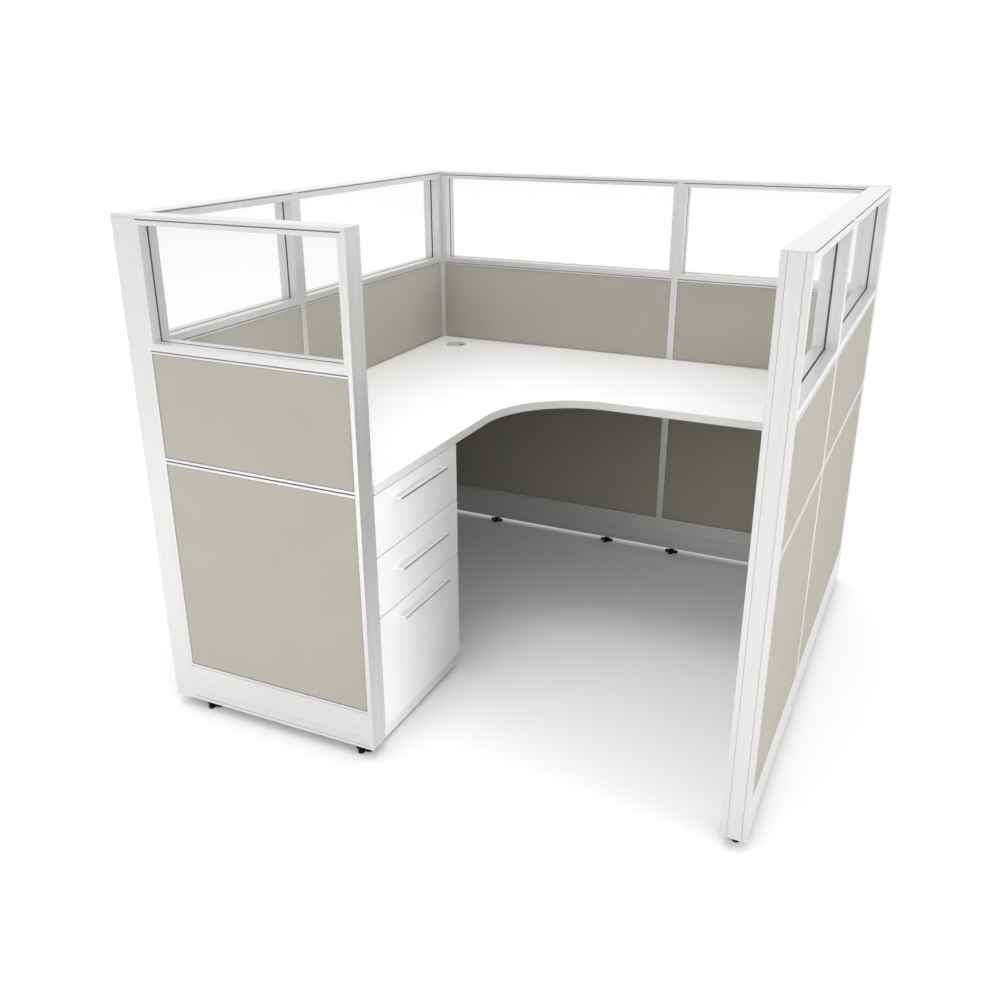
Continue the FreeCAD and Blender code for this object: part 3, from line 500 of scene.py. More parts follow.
class Finishes:
    """The workstation's finishes by the piece that wears them."""

    WHITE = {run: PowderCoat(f"white_coat_{run.name.lower()}", "frame_white", flake=0.5,
                             grain=run) for run in Run}
    # The next two coats are painted shade: near-black and dark grey, put on the faces inside the
    # frame's reveals, steps and grooves, where shade falls
    REVEAL_SHADE = PowderCoat("reveal_shade", "frame_white", (0.10, 0.10, 0.10), 0.6)
    SEAM_SHADE = PowderCoat("seam_shade", "frame_white", (0.30, 0.30, 0.30), 0.6)
    PEDESTAL = PowderCoat("pedestal_coat", "pedestal_white", (0.92, 0.92, 0.92), 0.42, streak=0.01,
                          pitch=8.0, slowness=8.0)
    PRIMER = PowderCoat("frame_primer", "frame_steel", (0.17, 0.18, 0.19), 0.5, 0.08)
    BRACKET = PowderCoat("bracket_coat", "bracket_steel", (0.075, 0.075, 0.08), 0.45, 0.06)
    DRAWER = PowderCoat("drawer_coat", "drawer_steel", (0.30, 0.31, 0.32), 0.42, 0.03)
    CLOTH = PanelCloth("panel_cloth", "tile_fabric")
    TOP = Laminate("top_laminate", "worktop_laminate")
    # The edge band is a real strip, made greyer than the top partly as painted shade on the steep
    # faces
    SHADED_BAND = Laminate("edge_band_and_shade", "worktop_laminate", (0.80, 0.80, 0.795), 0.40)
    GLASS = ClearGlass("clear_glass", "pane_glass")
    RUBBER = Moulded("gasket_rubber", "black_rubber", (0.12, 0.12, 0.124), 0.62)
    FOOT = Moulded("foot_plastic", "black_plastic", (0.008, 0.008, 0.008), 0.5, shine=0.12)
    GROMMET = Moulded("grommet_plastic", "grommet_plastic", (0.55, 0.55, 0.54), 0.45, 1200.0)
    ZINC = BareMetal("zinc_plate", "zinc_steel", (0.62, 0.63, 0.65), 0.35)
    STRIP = BareMetal("mill_aluminium", "bare_aluminium", (0.72, 0.73, 0.74), 0.38, Run.Z)
    PULL = BareMetal("satin_pull", "pull_metal", (0.93, 0.93, 0.93), 0.35, Run.Y, 0.9)
    # The pull's front face is a darker copy of the same metal: painted shade on the bar's front
    PULL_SHADED_FACE = BareMetal("pull_face_painted_shade", "pull_metal", (0.52, 0.52, 0.52), 0.34, Run.Y, 0.9)


# ----------------------------------------------------------------------- forms


class Form:
    """A mesh in the making, in millimetres, that remembers the finish of each face."""

    def __init__(self) -> None:
        """Start an empty mesh."""
        self.mesh = bmesh.new()
        self.finishes: list[Finish] = []

    def _wear(self, faces: Iterable[bmesh.types.BMFace], finish: Finish) -> None:
        """Give a finish to some faces.

        Args:
            faces: The faces.
            finish: What they wear.
        """
        if finish not in self.finishes:
            self.finishes.append(finish)
        for face in faces:
            face.material_index = self.finishes.index(finish)

    def wear_where(self, finish: Finish, chosen: Callable[[bmesh.types.BMFace], bool]) -> None:
        """Give a finish to the faces that pass a test."""
        self.mesh.normal_update()
        self._wear([face for face in self.mesh.faces if chosen(face)], finish)

    def _dressed(self, verts: Iterable[bmesh.types.BMVert], finish: Finish) -> Verts:
        """The vertices as a list, once every face on them has its finish."""
        self._wear({face for vert in verts for face in vert.link_faces}, finish)
        return list(verts)

    def block(self, x: Pair, y: Pair, z: Pair, finish: Finish) -> Verts:
        """A rectangular solid between pairs of planes.

        Args:
            x: Where it starts and ends on the first axis.
            y: Where it starts and ends on the second axis.
            z: Where it starts and ends in height.
            finish: What it wears.

        Returns:
            The solid's vertices.
        """
        made = bmesh.ops.create_cube(self.mesh, size=1.0)["verts"]
        spans = (x, y, z)
        bmesh.ops.scale(self.mesh, vec=[high - low for low, high in spans], verts=made)
        bmesh.ops.translate(self.mesh, vec=[(low + high) / 2 for low, high in spans], verts=made)
        return self._dressed(made, finish)

    def bar(self, outline: Sequence[Pair], run: Run, span: Pair, finish: Finish) -> Verts:
        """A bar with an outline, along a run.

        Args:
            outline: Closed outline in the run's other two axes.
            run: The axis that the bar runs along.
            span: Where it starts and ends.
            finish: What it wears.

        Returns:
            The bar's vertices.
        """
        start = [self.mesh.verts.new(run.point(span[0], *pair)) for pair in outline]
        return self._pulled([self.mesh.faces.new(start)], run.point(span[1] - span[0], 0, 0),
                            finish)

    def _pulled(self, faces: list[bmesh.types.BMFace], step: Vector, finish: Finish) -> Verts:
        """Extrude faces by a step into a solid.

        Args:
            faces: The faces that it starts from.
            step: How far and which way it reaches.
            finish: What it wears.

        Returns:
            The solid's vertices.
        """
        kept = dict.fromkeys(vert for face in faces for vert in face.verts)
        made = bmesh.ops.extrude_face_region(self.mesh, geom=faces, use_keep_orig=True)["geom"]
        moved = [part for part in made if isinstance(part, bmesh.types.BMVert)]
        bmesh.ops.translate(self.mesh, vec=step, verts=moved)
        return self._dressed([*kept, *moved], finish)

    def loop(self, points: Sequence[Pair], level: float) -> list[bmesh.types.BMEdge]:
        """A level closed loop of edges."""
        verts = [self.mesh.verts.new((x, y, level)) for x, y in points]
        return [self.mesh.edges.new((a, b)) for a, b in zip(verts, verts[1:] + verts[:1])]

    def sleeve(self, outer: Sequence[Pair], inner: Sequence[Pair], z: Pair,
               finish: Finish) -> Verts:
        """A standing tube between two outlines with as many corners each.

        Args:
            outer: The outer outline in plan.
            inner: The inner outline in plan.
            z: Its lower and upper level.
            finish: What it wears.

        Returns:
            The tube's vertices.
        """
        edges = self.loop(outer, z[0]) + self.loop(inner, z[0])
        faces = bmesh.ops.bridge_loops(self.mesh, edges=edges)["faces"]
        return self._pulled(faces, Vector((0, 0, z[1] - z[0])), finish)

    def plate(self, outline: Sequence[Pair], holes: Sequence[Sequence[Pair]], z: Pair,
              finish: Finish) -> Verts:
        """A level plate with an outline and holes.

        Args:
            outline: The outline in plan.
            holes: The outline of each hole.
            z: Its lower and upper level.
            finish: What it wears.

        Returns:
            The plate's vertices.
        """
        edges = self.loop(outline, z[0])
        for hole in holes:
            edges += self.loop(hole, z[0])
        filled = bmesh.ops.triangle_fill(self.mesh, edges=edges, use_beauty=True)["geom"]
        inner = [part for part in filled
                 if isinstance(part, bmesh.types.BMEdge) and len(part.link_faces) == 2]
        corners = list(dict.fromkeys(vert for edge in edges for vert in edge.verts))
        faces = bmesh.ops.dissolve_limit(self.mesh, angle_limit=FILL_ANGLE, edges=inner,
                                         verts=corners)["region"]
        return self._pulled(faces, Vector((0, 0, z[1] - z[0])), finish)

    def turned(self, outline: Sequence[Pair], centre: Pair, steps: int,
               finish: Finish) -> Verts:
        """A full turn of an outline of radius and height about a standing axis.

        Args:
            outline: Pairs of radius and height. It is closed, or starts and ends on the axis.
            centre: The axis's place in plan.
            steps: How many steps the turn has.
            finish: What it wears.

        Returns:
            The vertices.
        """
        verts = [self.mesh.verts.new((centre[0] + radius, centre[1], z)) for radius, z in outline]
        ends = list(zip(verts, verts[1:]))
        if outline[0][0] > 0:
            ends.append((verts[-1], verts[0]))
        edges = [self.mesh.edges.new(pair) for pair in ends]
        known = set(self.mesh.verts) - set(verts)
        bmesh.ops.spin(self.mesh, geom=[*verts, *edges], cent=(*centre, 0.0), axis=(0, 0, 1),
                       angle=math.tau, steps=steps, use_merge=True)
        made = [vert for vert in self.mesh.verts if vert not in known]
        bmesh.ops.remove_doubles(self.mesh, verts=made, dist=SPIN_WELD)
        return self._dressed([vert for vert in self.mesh.verts if vert not in known], finish)

    def soften(self, width: float, segments: int = 2,
               verts: Iterable[bmesh.types.BMVert] | None = None, run: Run | None = None) -> None:
        """Round off sharp edges.

        Args:
            width: How far from the edge the rounding starts.
            segments: Faces across the rounding.
            verts: The vertices whose edges count, or all.
            run: Only edges along this axis, or all.
        """
        chosen = set(self.mesh.verts if verts is None else verts)
        edges = []
        for edge in self.mesh.edges:
            if edge.is_manifold and chosen.issuperset(edge.verts):
                way = (edge.verts[1].co - edge.verts[0].co).normalized()
                along = run is None or abs(way[run.value[0]]) > ALONG
                if along and edge.calc_face_angle(0.0) > BEVEL_ANGLE:
                    edges.append(edge)
        bmesh.ops.bevel(self.mesh, geom=edges, offset=width, affect="EDGES", segments=segments,
                        profile=0.5, material=-1, clamp_overlap=True)

    def shade(self, levels: Pair, finish: Finish) -> None:
        """Give a finish to the faces whose middles lie between two levels or on them."""
        low, high = levels[0] - LEVEL_SLACK, levels[1] + LEVEL_SLACK
        self.wear_where(finish, lambda face: low < face.calc_center_median().z < high)

    def copied(self, node: str, finish: Finish) -> Verts:
        """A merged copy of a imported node, brought back to millimetres.

        Args:
            node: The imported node.
            finish: What it wears.

        Returns:
            The copy's vertices.
        """
        self.mesh.from_mesh(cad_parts[node].data)
        self.mesh.transform(TO_METRES.inverted())
        bmesh.ops.remove_doubles(self.mesh, verts=self.mesh.verts, dist=WELD)
        bmesh.ops.dissolve_limit(self.mesh, angle_limit=FLAT_ANGLE, verts=self.mesh.verts,
                                 edges=self.mesh.edges)
        return self._dressed(self.mesh.verts, finish)

    def finished(self, name: str, nodes: Sequence[str], body: str = BODY,
                 place: Matrix = Matrix.Identity(4)) -> None:
        """Turn the form into a piece that rides on a body and stands for its nodes.

        Args:
            name: The piece's name.
            nodes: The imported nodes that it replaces.
            body: The body that it moves with.
            place: Where the form's own axes stand, in millimetres.
        """
        self.mesh.transform(TO_METRES @ place)
        bmesh.ops.recalc_face_normals(self.mesh, faces=self.mesh.faces)
        for face in self.mesh.faces:
            face.smooth = True
        data = bpy.data.meshes.new(name)
        self.mesh.to_mesh(data)
        self.mesh.free()
        data.set_sharp_from_angle(angle=CREASE_ANGLE)
        for finish in self.finishes:
            data.materials.append(finish.material())
        piece = bpy.data.objects.new(name, data)
        bpy.context.scene.collection.objects.link(piece)
        piece.modifiers.new("even_shading", "WEIGHTED_NORMAL").keep_sharp = True
        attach(piece, body)
        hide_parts(*nodes)
        log.info("%s: %d faces on %s", name, len(data.polygons), body)


def rounded_copy(name: str, node: str, finish: Finish, width: float, body: str = BODY) -> None:
    """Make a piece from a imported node, with its edges rounded off.

    Args:
        name: The piece's name.
        node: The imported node.
        finish: What it wears.
        width: How far from the edge the rounding starts.
        body: The body that it moves with.
    """
    form = Form()
    form.copied(node, finish)
    form.soften(width)
    form.finished(name, [node], body)


def circle(radius: float, centre: Pair, sides: int, start: float = 0.0,
           end: float = math.tau) -> list[Pair]:
    """Points round an arc; a full turn leaves out its last point.

    Args:
        radius: The arc's radius.
        centre: Its middle.
        sides: How many steps it has.
        start: The angle where it starts.
        end: The angle where it ends.

    Returns:
        The points.
    """
    count = sides if math.isclose(end - start, math.tau) else sides + 1
    return [(centre[0] + radius * math.cos(start + (end - start) * number / sides),
             centre[1] + radius * math.sin(start + (end - start) * number / sides))
            for number in range(count)]


def square(x: Pair, y: Pair) -> list[Pair]:
    """Corners of a rectangle in plan."""
    return [(x[0], y[0]), (x[1], y[0]), (x[1], y[1]), (x[0], y[1])]


def folded(path: Sequence[Pair], wall: float) -> list[Pair]:
    """Close an open path into a section of one wall thickness, on the right of the path.

    Args:
        path: Corners of the path, the section's outer side.
        wall: The wall thickness.

    Returns:
        The closed section.
    """
    normals = []
    for (x0, y0), (x1, y1) in zip(path, path[1:]):
        length = math.hypot(x1 - x0, y1 - y0)
        normals.append(((y1 - y0) / length, (x0 - x1) / length))
    inner = []
    for number, (x, y) in enumerate(path):
        before = normals[max(number - 1, 0)]
        after = normals[min(number, len(normals) - 1)]
        share = 1 / (1 + before[0] * after[0] + before[1] * after[1])
        inner.append((x + wall * share * (before[0] + after[0]),
                      y + wall * share * (before[1] + after[1])))
    return [*path, *inner[::-1]]


def flipped(outline: Sequence[Pair], place: float) -> list[Pair]:
    """The outline on the other side of a line at a place on its first axis."""
    return [(2 * place - x, y) for x, y in outline]


# ---------------------------------------------------------------------- panels


@dataclass(frozen=True)
class PanelSizes:
    """The sizes that every bay of the walls shares."""

    thickness: float = PANEL
    foot: float = 28.0
    height: float = 1346.0
    edge: float = 12.0
    edge_wall: float = 2.0
    edge_lip: float = 5.0
    strip: Pair = (13.0, 47.0)
    strip_thickness: float = 2.0
    strip_gap: float = 0.5
    back: float = 13.0
    lower_tile: Pair = (144.0, 730.0)
    upper_tile: Pair = (747.0, 1017.0)
    tile_face: Pair = (1.0, 13.0)
    tile_gap: float = 0.5
    crown: Pair = (1017.0, 1022.0)
    glazing: float = 1025.0
    opening: Pair = (1043.0, 1323.0)
    reveal: Pair = (4.0, 3.0)
    stile: float = 9.0
    pane_groove: Pair = (27.7, 32.3)
    groove_depth: float = 6.0
    shadow_groove: Pair = (737.0, 740.0)
    shadow_depth: float = 4.0
    seam_shade_inset: float = 0.1


@dataclass
class PanelWall:
    """A straight run of bays, with its outer face on the right of the way it runs."""

    name: str
    start: Pair
    turn: float
    bays: list[float]
    cap_height: float
    free_end: float | None
    # The finish of the foot under the cap: painted shade in the reveal below the cap, darker on
    # some walls than on others
    cap_seam_shade: Finish
    softness: float = 0.5
    cloth_softness: float = 2.2
    cap_softness: float = 0.7
    s: PanelSizes = PanelSizes()

    @property
    def place(self) -> Matrix:
        """Where the wall's own axes stand in the workstation."""
        return (Matrix.Translation((*self.start, 0.0))
                @ Matrix.Rotation(math.radians(self.turn), 4, "Z"))

    @property
    def rail_coat(self) -> Finish:
        """White coat with its grain along the wall."""
        return Finishes.WHITE[Run.Y if abs(self.turn) == 90 else Run.X]

    @property
    def cap_bottom(self) -> float:
        """Underside of the top cap."""
        return self.s.height - self.cap_height

    def spans(self) -> list[Pair]:
        """Start and end of each bay along the wall."""
        starts = [sum(self.bays[:number]) for number in range(len(self.bays))]
        return [(start, start + width) for start, width in zip(starts, self.bays)]

    def edge_outline(self) -> list[Pair]:
        """Section of the channel that closes a bay's side, in plan.

        Returns:
            Its corners.
        """
        s = self.s
        near, far = s.strip
        path = [(s.edge, s.edge_lip), (s.edge, 0.0), (0.0, 0.0), (0.0, near),
                (s.strip_thickness, near), (s.strip_thickness, far), (0.0, far),
                (0.0, s.thickness), (s.edge, s.thickness), (s.edge, s.thickness - s.edge_lip)]
        return folded(path, s.edge_wall)

    def mid_rail_outline(self) -> list[Pair]:
        """Section of the face rail between the tiles, with its shadow groove.

        Returns:
            Its corners, across the wall and up.
        """
        s = self.s
        low, high = s.lower_tile[1], s.upper_tile[0]
        floor, roof = s.shadow_groove
        return [(0.0, low), (s.back, low), (s.back, high), (0.0, high), (0.0, roof),
                (s.shadow_depth, roof), (s.shadow_depth, floor), (0.0, floor)]

    def crown_outline(self) -> list[Pair]:
        """Section of the rail on top of the frame, stepped in to leave the reveal.

        Returns:
            Its corners, across the wall and up.
        """
        s = self.s
        step = s.reveal[0]
        return [(0.0, s.crown[0]), (s.thickness, s.crown[0]), (s.thickness, s.crown[1]),
                (s.thickness - step, s.crown[1]), (s.thickness - step, s.glazing),
                (step, s.glazing), (step, s.crown[1]), (0.0, s.crown[1])]

    def build_trim(self) -> None:
        """Edge channels, mid rails and crown rails."""
        form = Form()
        s = self.s
        for start, end in self.spans():
            outline = [(start + x, y) for x, y in self.edge_outline()]
            for section in (outline, flipped(outline, (start + end) / 2)):
                form.bar(section, Run.Z, (s.foot, self.cap_bottom), Finishes.WHITE[Run.Z])
            inside = (start + s.edge, end - s.edge)
            mid = self.mid_rail_outline()
            for section in (mid, flipped(mid, s.thickness / 2), self.crown_outline()):
                form.bar(section, Run.X, inside, self.rail_coat)
        form.soften(self.softness)
        # Painted shade: the crown's step gets the dark grey coat and the mid rail's shadow groove
        # the near-black one
        form.shade((s.crown[1] + s.seam_shade_inset, s.glazing - s.seam_shade_inset), Finishes.SEAM_SHADE)
        form.shade(s.shadow_groove, Finishes.REVEAL_SHADE)
        form.finished(f"{self.name}_trim_runs", [f"{self.name}_trim"], place=self.place)

    def build_tiles(self) -> None:
        """Cloth tiles of the outer and the inner face."""
        s = self.s
        inner = tuple(s.thickness - value for value in s.tile_face[::-1])
        for side, depth in (("outer", s.tile_face), ("inner", inner)):
            form = Form()
            for start, end in self.spans():
                for low, high in (s.lower_tile, s.upper_tile):
                    form.block((start + s.edge + s.tile_gap, end - s.edge - s.tile_gap), depth,
                               (low + s.tile_gap, high - s.tile_gap), Finishes.CLOTH)
            form.soften(self.cloth_softness, ROUND_STEPS)
            form.finished(f"{self.name}_cloth_{side}", [f"{self.name}_tiles_{side}"],
                          place=self.place)

    def build_glazing(self) -> None:
        """Stiles, sill and head of each bay, grooved for the pane."""
        form = Form()
        s = self.s
        inner = s.edge + s.stile
        near, far = s.pane_groove
        low, high = s.opening
        top = self.cap_bottom - s.reveal[1]
        for start, end in self.spans():
            stile = [(start + s.edge, 0.0), (start + inner, 0.0), (start + inner, near),
                     (start + inner - s.groove_depth, near), (start + inner - s.groove_depth, far),
                     (start + inner, far), (start + inner, s.thickness),
                     (start + s.edge, s.thickness)]
            for section in (stile, flipped(stile, (start + end) / 2)):
                form.bar(section, Run.Z, (s.glazing, top), Finishes.WHITE[Run.Z])
            sill = [(0.0, s.glazing), (s.thickness, s.glazing), (s.thickness, low), (far, low),
                    (far, low - s.groove_depth), (near, low - s.groove_depth), (near, low),
                    (0.0, low)]
            head = [(0.0, high), (near, high), (near, high + s.groove_depth),
                    (far, high + s.groove_depth), (far, high), (s.thickness, high),
                    (s.thickness, top), (0.0, top)]
            for section in (sill, head):
                form.bar(section, Run.X, (start + inner, end - inner), self.rail_coat)
        form.soften(self.softness)
        form.finished(f"{self.name}_glazing_frame", [f"{self.name}_glass_frame"],
                      place=self.place)

    def build_cap(self) -> None:
        """Flat cap along the wall, on a narrower foot in each bay."""
        form = Form()
        s = self.s
        form.block((0.0, sum(self.bays)), (0.0, s.thickness), (self.cap_bottom, s.height),
                   self.rail_coat)
        step, rise = s.reveal
        form.soften(self.cap_softness)
        for start, end in self.spans():
            # Each foot wears painted shade, so that the reveal under the cap reads dark
            form.block((start + s.edge, end - s.edge), (step, s.thickness - step),
                       (self.cap_bottom - rise, self.cap_bottom), self.cap_seam_shade)
        form.finished(f"{self.name}_cap", [f"{self.name}_top_cap"], place=self.place)

    def build(self) -> None:
        """Every piece that belongs to this wall alone."""
        self.build_trim()
        self.build_tiles()
        self.build_glazing()
        self.build_cap()


@dataclass
class BaseCovers:
    """The folded covers along the floor, on both faces of every bay."""

    walls: list[PanelWall]
    wall: float = 1.5
    setback: float = 0.35
    groove: Pair = (2.2, 2.5)
    lips: Pair = (37.0, 137.5)
    back_lip: float = 8.0
    end_gap: float = 0.05
    line: Pair = (1.8, 1.0)
    line_places: Pair = (0.34, 0.66)
    softness: float = 0.3

    def outline(self, s: PanelSizes) -> list[Pair]:
        """Section of the outer face's cover, with two fine lines drawn along its face.

        Args:
            s: The sizes of the bays.

        Returns:
            Its corners, across the wall and up.
        """
        depth, width = self.groove
        low, high = self.lips
        top = s.lower_tile[0] - s.tile_gap
        path = [(self.back_lip, s.foot), (0.0, s.foot), (0.0, low), (depth, low),
                (depth, low + width), (self.setback, low + width), (self.setback, high - width),
                (depth, high - width), (depth, high), (0.0, high), (0.0, top), (s.back, top)]
        section = folded(path, self.wall)
        lines = []
        for share in self.line_places:
            level = low + width + (high - low - 2 * width) * share
            lines += [(self.setback, level - self.line[0] / 2),
                      (self.setback + self.line[1], level),
                      (self.setback, level + self.line[0] / 2)]
        return section[:6] + lines + section[6:]

    def build(self) -> None:
        """One piece for the outer faces and one for the inner."""
        for side in ("outer", "inner"):
            form = Form()
            for wall in self.walls:
                s = wall.s
                section = self.outline(s)
                if side == "inner":
                    section = flipped(section, s.thickness / 2)
                for start, end in wall.spans():
                    inset = s.edge + self.end_gap
                    made = form.bar(section, Run.X, (start + inset, end - inset), wall.rail_coat)
                    bmesh.ops.transform(form.mesh, matrix=wall.place, verts=made)
            form.soften(self.softness)
            form.finished(f"covers_{side}", [f"base_covers_{side}"])


@dataclass
class CornerPosts:
    """The three corner posts with their caps."""

    places: dict[str, Pair]
    size: float = PANEL
    wall: float = 2.5
    levels: Pair = (28.0, 1338.5)
    cap_top: float = 1347.5
    plug: float = 20.0
    seat: float = 0.3
    corner: float = 1.5
    cap_softness: float = 1.3

    def build(self) -> None:
        """Hollow posts with rounded corners, and one piece for the caps."""
        caps = Form()
        coat = Finishes.WHITE[Run.Z]
        for name, (x, y) in self.places.items():
            form = Form()
            outer = square((x, x + self.size), (y, y + self.size))
            bore = square((x + self.wall, x + self.size - self.wall),
                          (y + self.wall, y + self.size - self.wall))
            made = form.sleeve(outer, bore, self.levels, coat)
            skin = [vert for vert in made if vert.co.x in (x, x + self.size)]
            form.soften(self.corner, ROUND_STEPS, skin, Run.Z)
            form.finished(f"{name}_hollow", [name])
            plate = caps.block((x, x + self.size), (y, y + self.size),
                               (self.levels[1], self.cap_top), Finishes.WHITE[Run.X])
            caps.soften(self.cap_softness, ROUND_STEPS, plate)
            inset = self.wall + self.seat
            caps.block((x + inset, x + self.size - inset), (y + inset, y + self.size - inset),
                       (self.levels[1] - self.plug, self.levels[1]), Finishes.WHITE[Run.X])
        caps.finished("post_cap_plates", ["post_caps"])


@dataclass
class EndStrips:
    """Cover strips in the free ends of the walls."""

    walls: list[PanelWall]
    softness: float = 0.35

    def build(self) -> None:
        """A strip in the recess of each free end, flush with it."""
        form = Form()
        for wall in self.walls:
            if wall.free_end is None:
                continue
            s = wall.s
            start = 0.0 if wall.free_end == 0 else wall.free_end - s.strip_thickness
            made = form.block((start, start + s.strip_thickness),
                              (s.strip[0] + s.strip_gap, s.strip[1] - s.strip_gap),
                              (s.foot, wall.cap_bottom), Finishes.WHITE[Run.Z])
            bmesh.ops.transform(form.mesh, matrix=wall.place, verts=made)
        form.soften(self.softness)
        form.finished("end_cover_strips", ["end_strips"])


@dataclass
class Glides:
    """Levelling glides: a four-armed foot, a threaded stem and a hexagonal nut."""

    walls: list[PanelWall]
    narrow_inset: float = 48.0
    wide_inset: float = 210.0
    seat: float = 34.0
    reach: float = 24.0
    arm: float = 16.0
    foot_height: float = 8.0
    shoulder: float = 13.0
    neck: float = 9.0
    taper: Triple = (0.4, 1.4, 1.0)
    thread: Pair = (4.2, 5.0)
    pitch: float = 1.5
    nut: Triple = (9.0, 5.1, 6.0)
    foot_softness: float = 1.2
    nut_softness: float = 0.5
    pedestal: tuple[Pair, Pair] = ((111.0, 591.0), (102.0, 450.0))
    low_foot: tuple[Pair, ...] = ((0.0, 0.0), (11.0, 0.0), (12.0, 1.0), (12.0, 4.2), (11.2, 5.0),
                                  (5.0, 5.0), (5.0, 58.0), (0.0, 58.0))
    steps: int = 28
    arm_steps: int = 6
    nut_steps: tuple[int, int] = (6, 12)

    def foot(self, centre: Pair) -> list[Pair]:
        """Outline of the four arms in plan, each with a rounded end.

        Args:
            centre: The foot's middle.

        Returns:
            The outline.
        """
        half = self.arm / 2
        points = []
        for quarter in range(4):
            turn = math.radians(90 * quarter)
            arm = [(half, -half), *circle(half, (self.reach - half, 0.0), self.arm_steps,
                                          -math.pi / 2, math.pi / 2)]
            points += [(centre[0] + out * math.cos(turn) - side * math.sin(turn),
                        centre[1] + out * math.sin(turn) + side * math.cos(turn))
                       for out, side in arm]
        return points

    def stem(self) -> list[Pair]:
        """Radius and height of the neck on the foot and the threaded stem up to the seat.

        Returns:
            The outline, from the axis and back to it.
        """
        root, crest = self.thread
        in_low, in_high, drop = self.taper
        points = [(0.0, self.foot_height), (self.neck, self.foot_height),
                  (self.neck - in_low, self.shoulder - drop), (self.neck - in_high, self.shoulder)]
        level = self.shoulder
        while level < self.seat - self.pitch:
            points += [(root, level), (crest, level + self.pitch / 2)]
            level += self.pitch
        return [*points, (root, self.seat), (0.0, self.seat)]

    def places(self) -> list[Vector]:
        """Where the bays' glides stand in the workstation.

        Returns:
            The place of each on the floor.
        """
        found = []
        for wall in self.walls:
            for start, end in wall.spans():
                narrow = end - start <= NARROW
                inset = self.narrow_inset if narrow else self.wide_inset
                for along in (start + inset, end - inset):
                    found.append(wall.place @ Vector((along, wall.s.thickness / 2, 0.0)))
        return found

    def build(self) -> None:
        """One piece for all of them."""
        form = Form()
        across, bore, height = self.nut
        for place in self.places():
            centre = (place.x, place.y)
            foot = form.plate(self.foot(centre), [], (0.0, self.foot_height), Finishes.FOOT)
            form.soften(self.foot_softness, ROUND_STEPS, foot)
            form.turned(self.stem(), centre, self.steps, Finishes.FOOT)
            nut = form.plate(circle(across, centre, self.nut_steps[0]),
                             [circle(bore, centre, self.nut_steps[1])],
                             (self.seat - height, self.seat), Finishes.ZINC)
            form.soften(self.nut_softness, verts=nut)
        for x in self.pedestal[0]:
            for y in self.pedestal[1]:
                form.turned(self.low_foot, (x, y), self.steps, Finishes.FOOT)
        form.finished("turned_glides", ["levelling_glides"])


# --------------------------------------------------------------------- worktop


@dataclass
class Screws:
    """The screws under the worktop: those of its brackets, and those of the pedestal."""

    seats: Pair = (717.0, 714.0)
    corner: tuple[Pair, Pair] = ((88.333, 1426.667), (173.333, 1511.667))
    steps: Triple = (105.0, 210.0, 315.0)
    arms: Triple = (666.0, 966.0, 1512.0)
    pedestal: tuple[Pair, Pair] = ((131.0, 571.0), (122.0, 430.0))
    head: tuple[Pair, ...] = ((0.0, 1.3), (1.5, 1.3), (2.0, 3.0), (3.4, 2.8), (4.6, 2.0),
                              (5.0, 0.9), (5.0, 0.0), (2.5, 0.0))
    shank: tuple[Pair, Pair] = ((2.5, 735.0), (0.0, 736.0))
    sides: int = 20

    def places(self) -> list[Triple]:
        """Where the screws stand, with their seats.

        Returns:
            The place of each in plan and its seat's level.
        """
        arm, pedestal = self.seats
        front, back, side = self.arms
        found = [(x, y, arm) for x, y in self.corner]
        for along in self.steps:
            found += [(PANEL + along, front, arm), (back, INNER - along, arm),
                      (side, INNER - along, arm)]
        return found + [(x, y, pedestal) for x in self.pedestal[0] for y in self.pedestal[1]]

    def build(self) -> None:
        """Pan-head screws, driven up into the worktop."""
        form = Form()
        for x, y, seat in self.places():
            outline = [(radius, seat - drop) for radius, drop in self.head]
            form.turned([*outline, *self.shank], (x, y), self.sides, Finishes.ZINC)
        form.finished("worktop_screws", ["fixing_screws"])


@dataclass
class Worktop:
    """The L-shaped top with its edge band, and the brackets under it."""

    levels: Pair = (720.0, 745.0)
    low: float = 61.0
    high: float = 1539.0
    front: float = 654.0
    back_front: float = 946.0
    curve: float = 275.0
    curve_steps: int = 56
    hole: Pair = GROMMET_PLACE
    hole_radius: float = 30.0
    hole_steps: int = 64
    softness: float = 1.0
    bracket_softness: float = 0.5

    def outline(self) -> list[Pair]:
        """Outline in plan, with the curved inner corner.

        Returns:
            Its corners.
        """
        centre = (self.front + self.curve, self.back_front - self.curve)
        return [*circle(self.curve, centre, self.curve_steps, math.pi, math.pi / 2),
                (self.high, self.back_front), (self.high, self.high), (self.low, self.high),
                (self.low, self.low), (self.front, self.low)]

    def build(self) -> None:
        """The slab with its band, and the brackets."""
        form = Form()
        form.plate(self.outline(), [circle(self.hole_radius, self.hole, self.hole_steps)],
                   self.levels, Finishes.TOP)
        form.soften(self.softness, ROUND_STEPS)
        # The steep faces wear the band: the real edge strip, greyer than the top partly as painted
        # shade
        form.wear_where(Finishes.SHADED_BAND, lambda face: abs(face.normal.z) < STEEP)
        form.finished("worktop_slab", ["worktop"])
        rounded_copy("bracket_arms", "worktop_brackets", Finishes.BRACKET, self.bracket_softness)


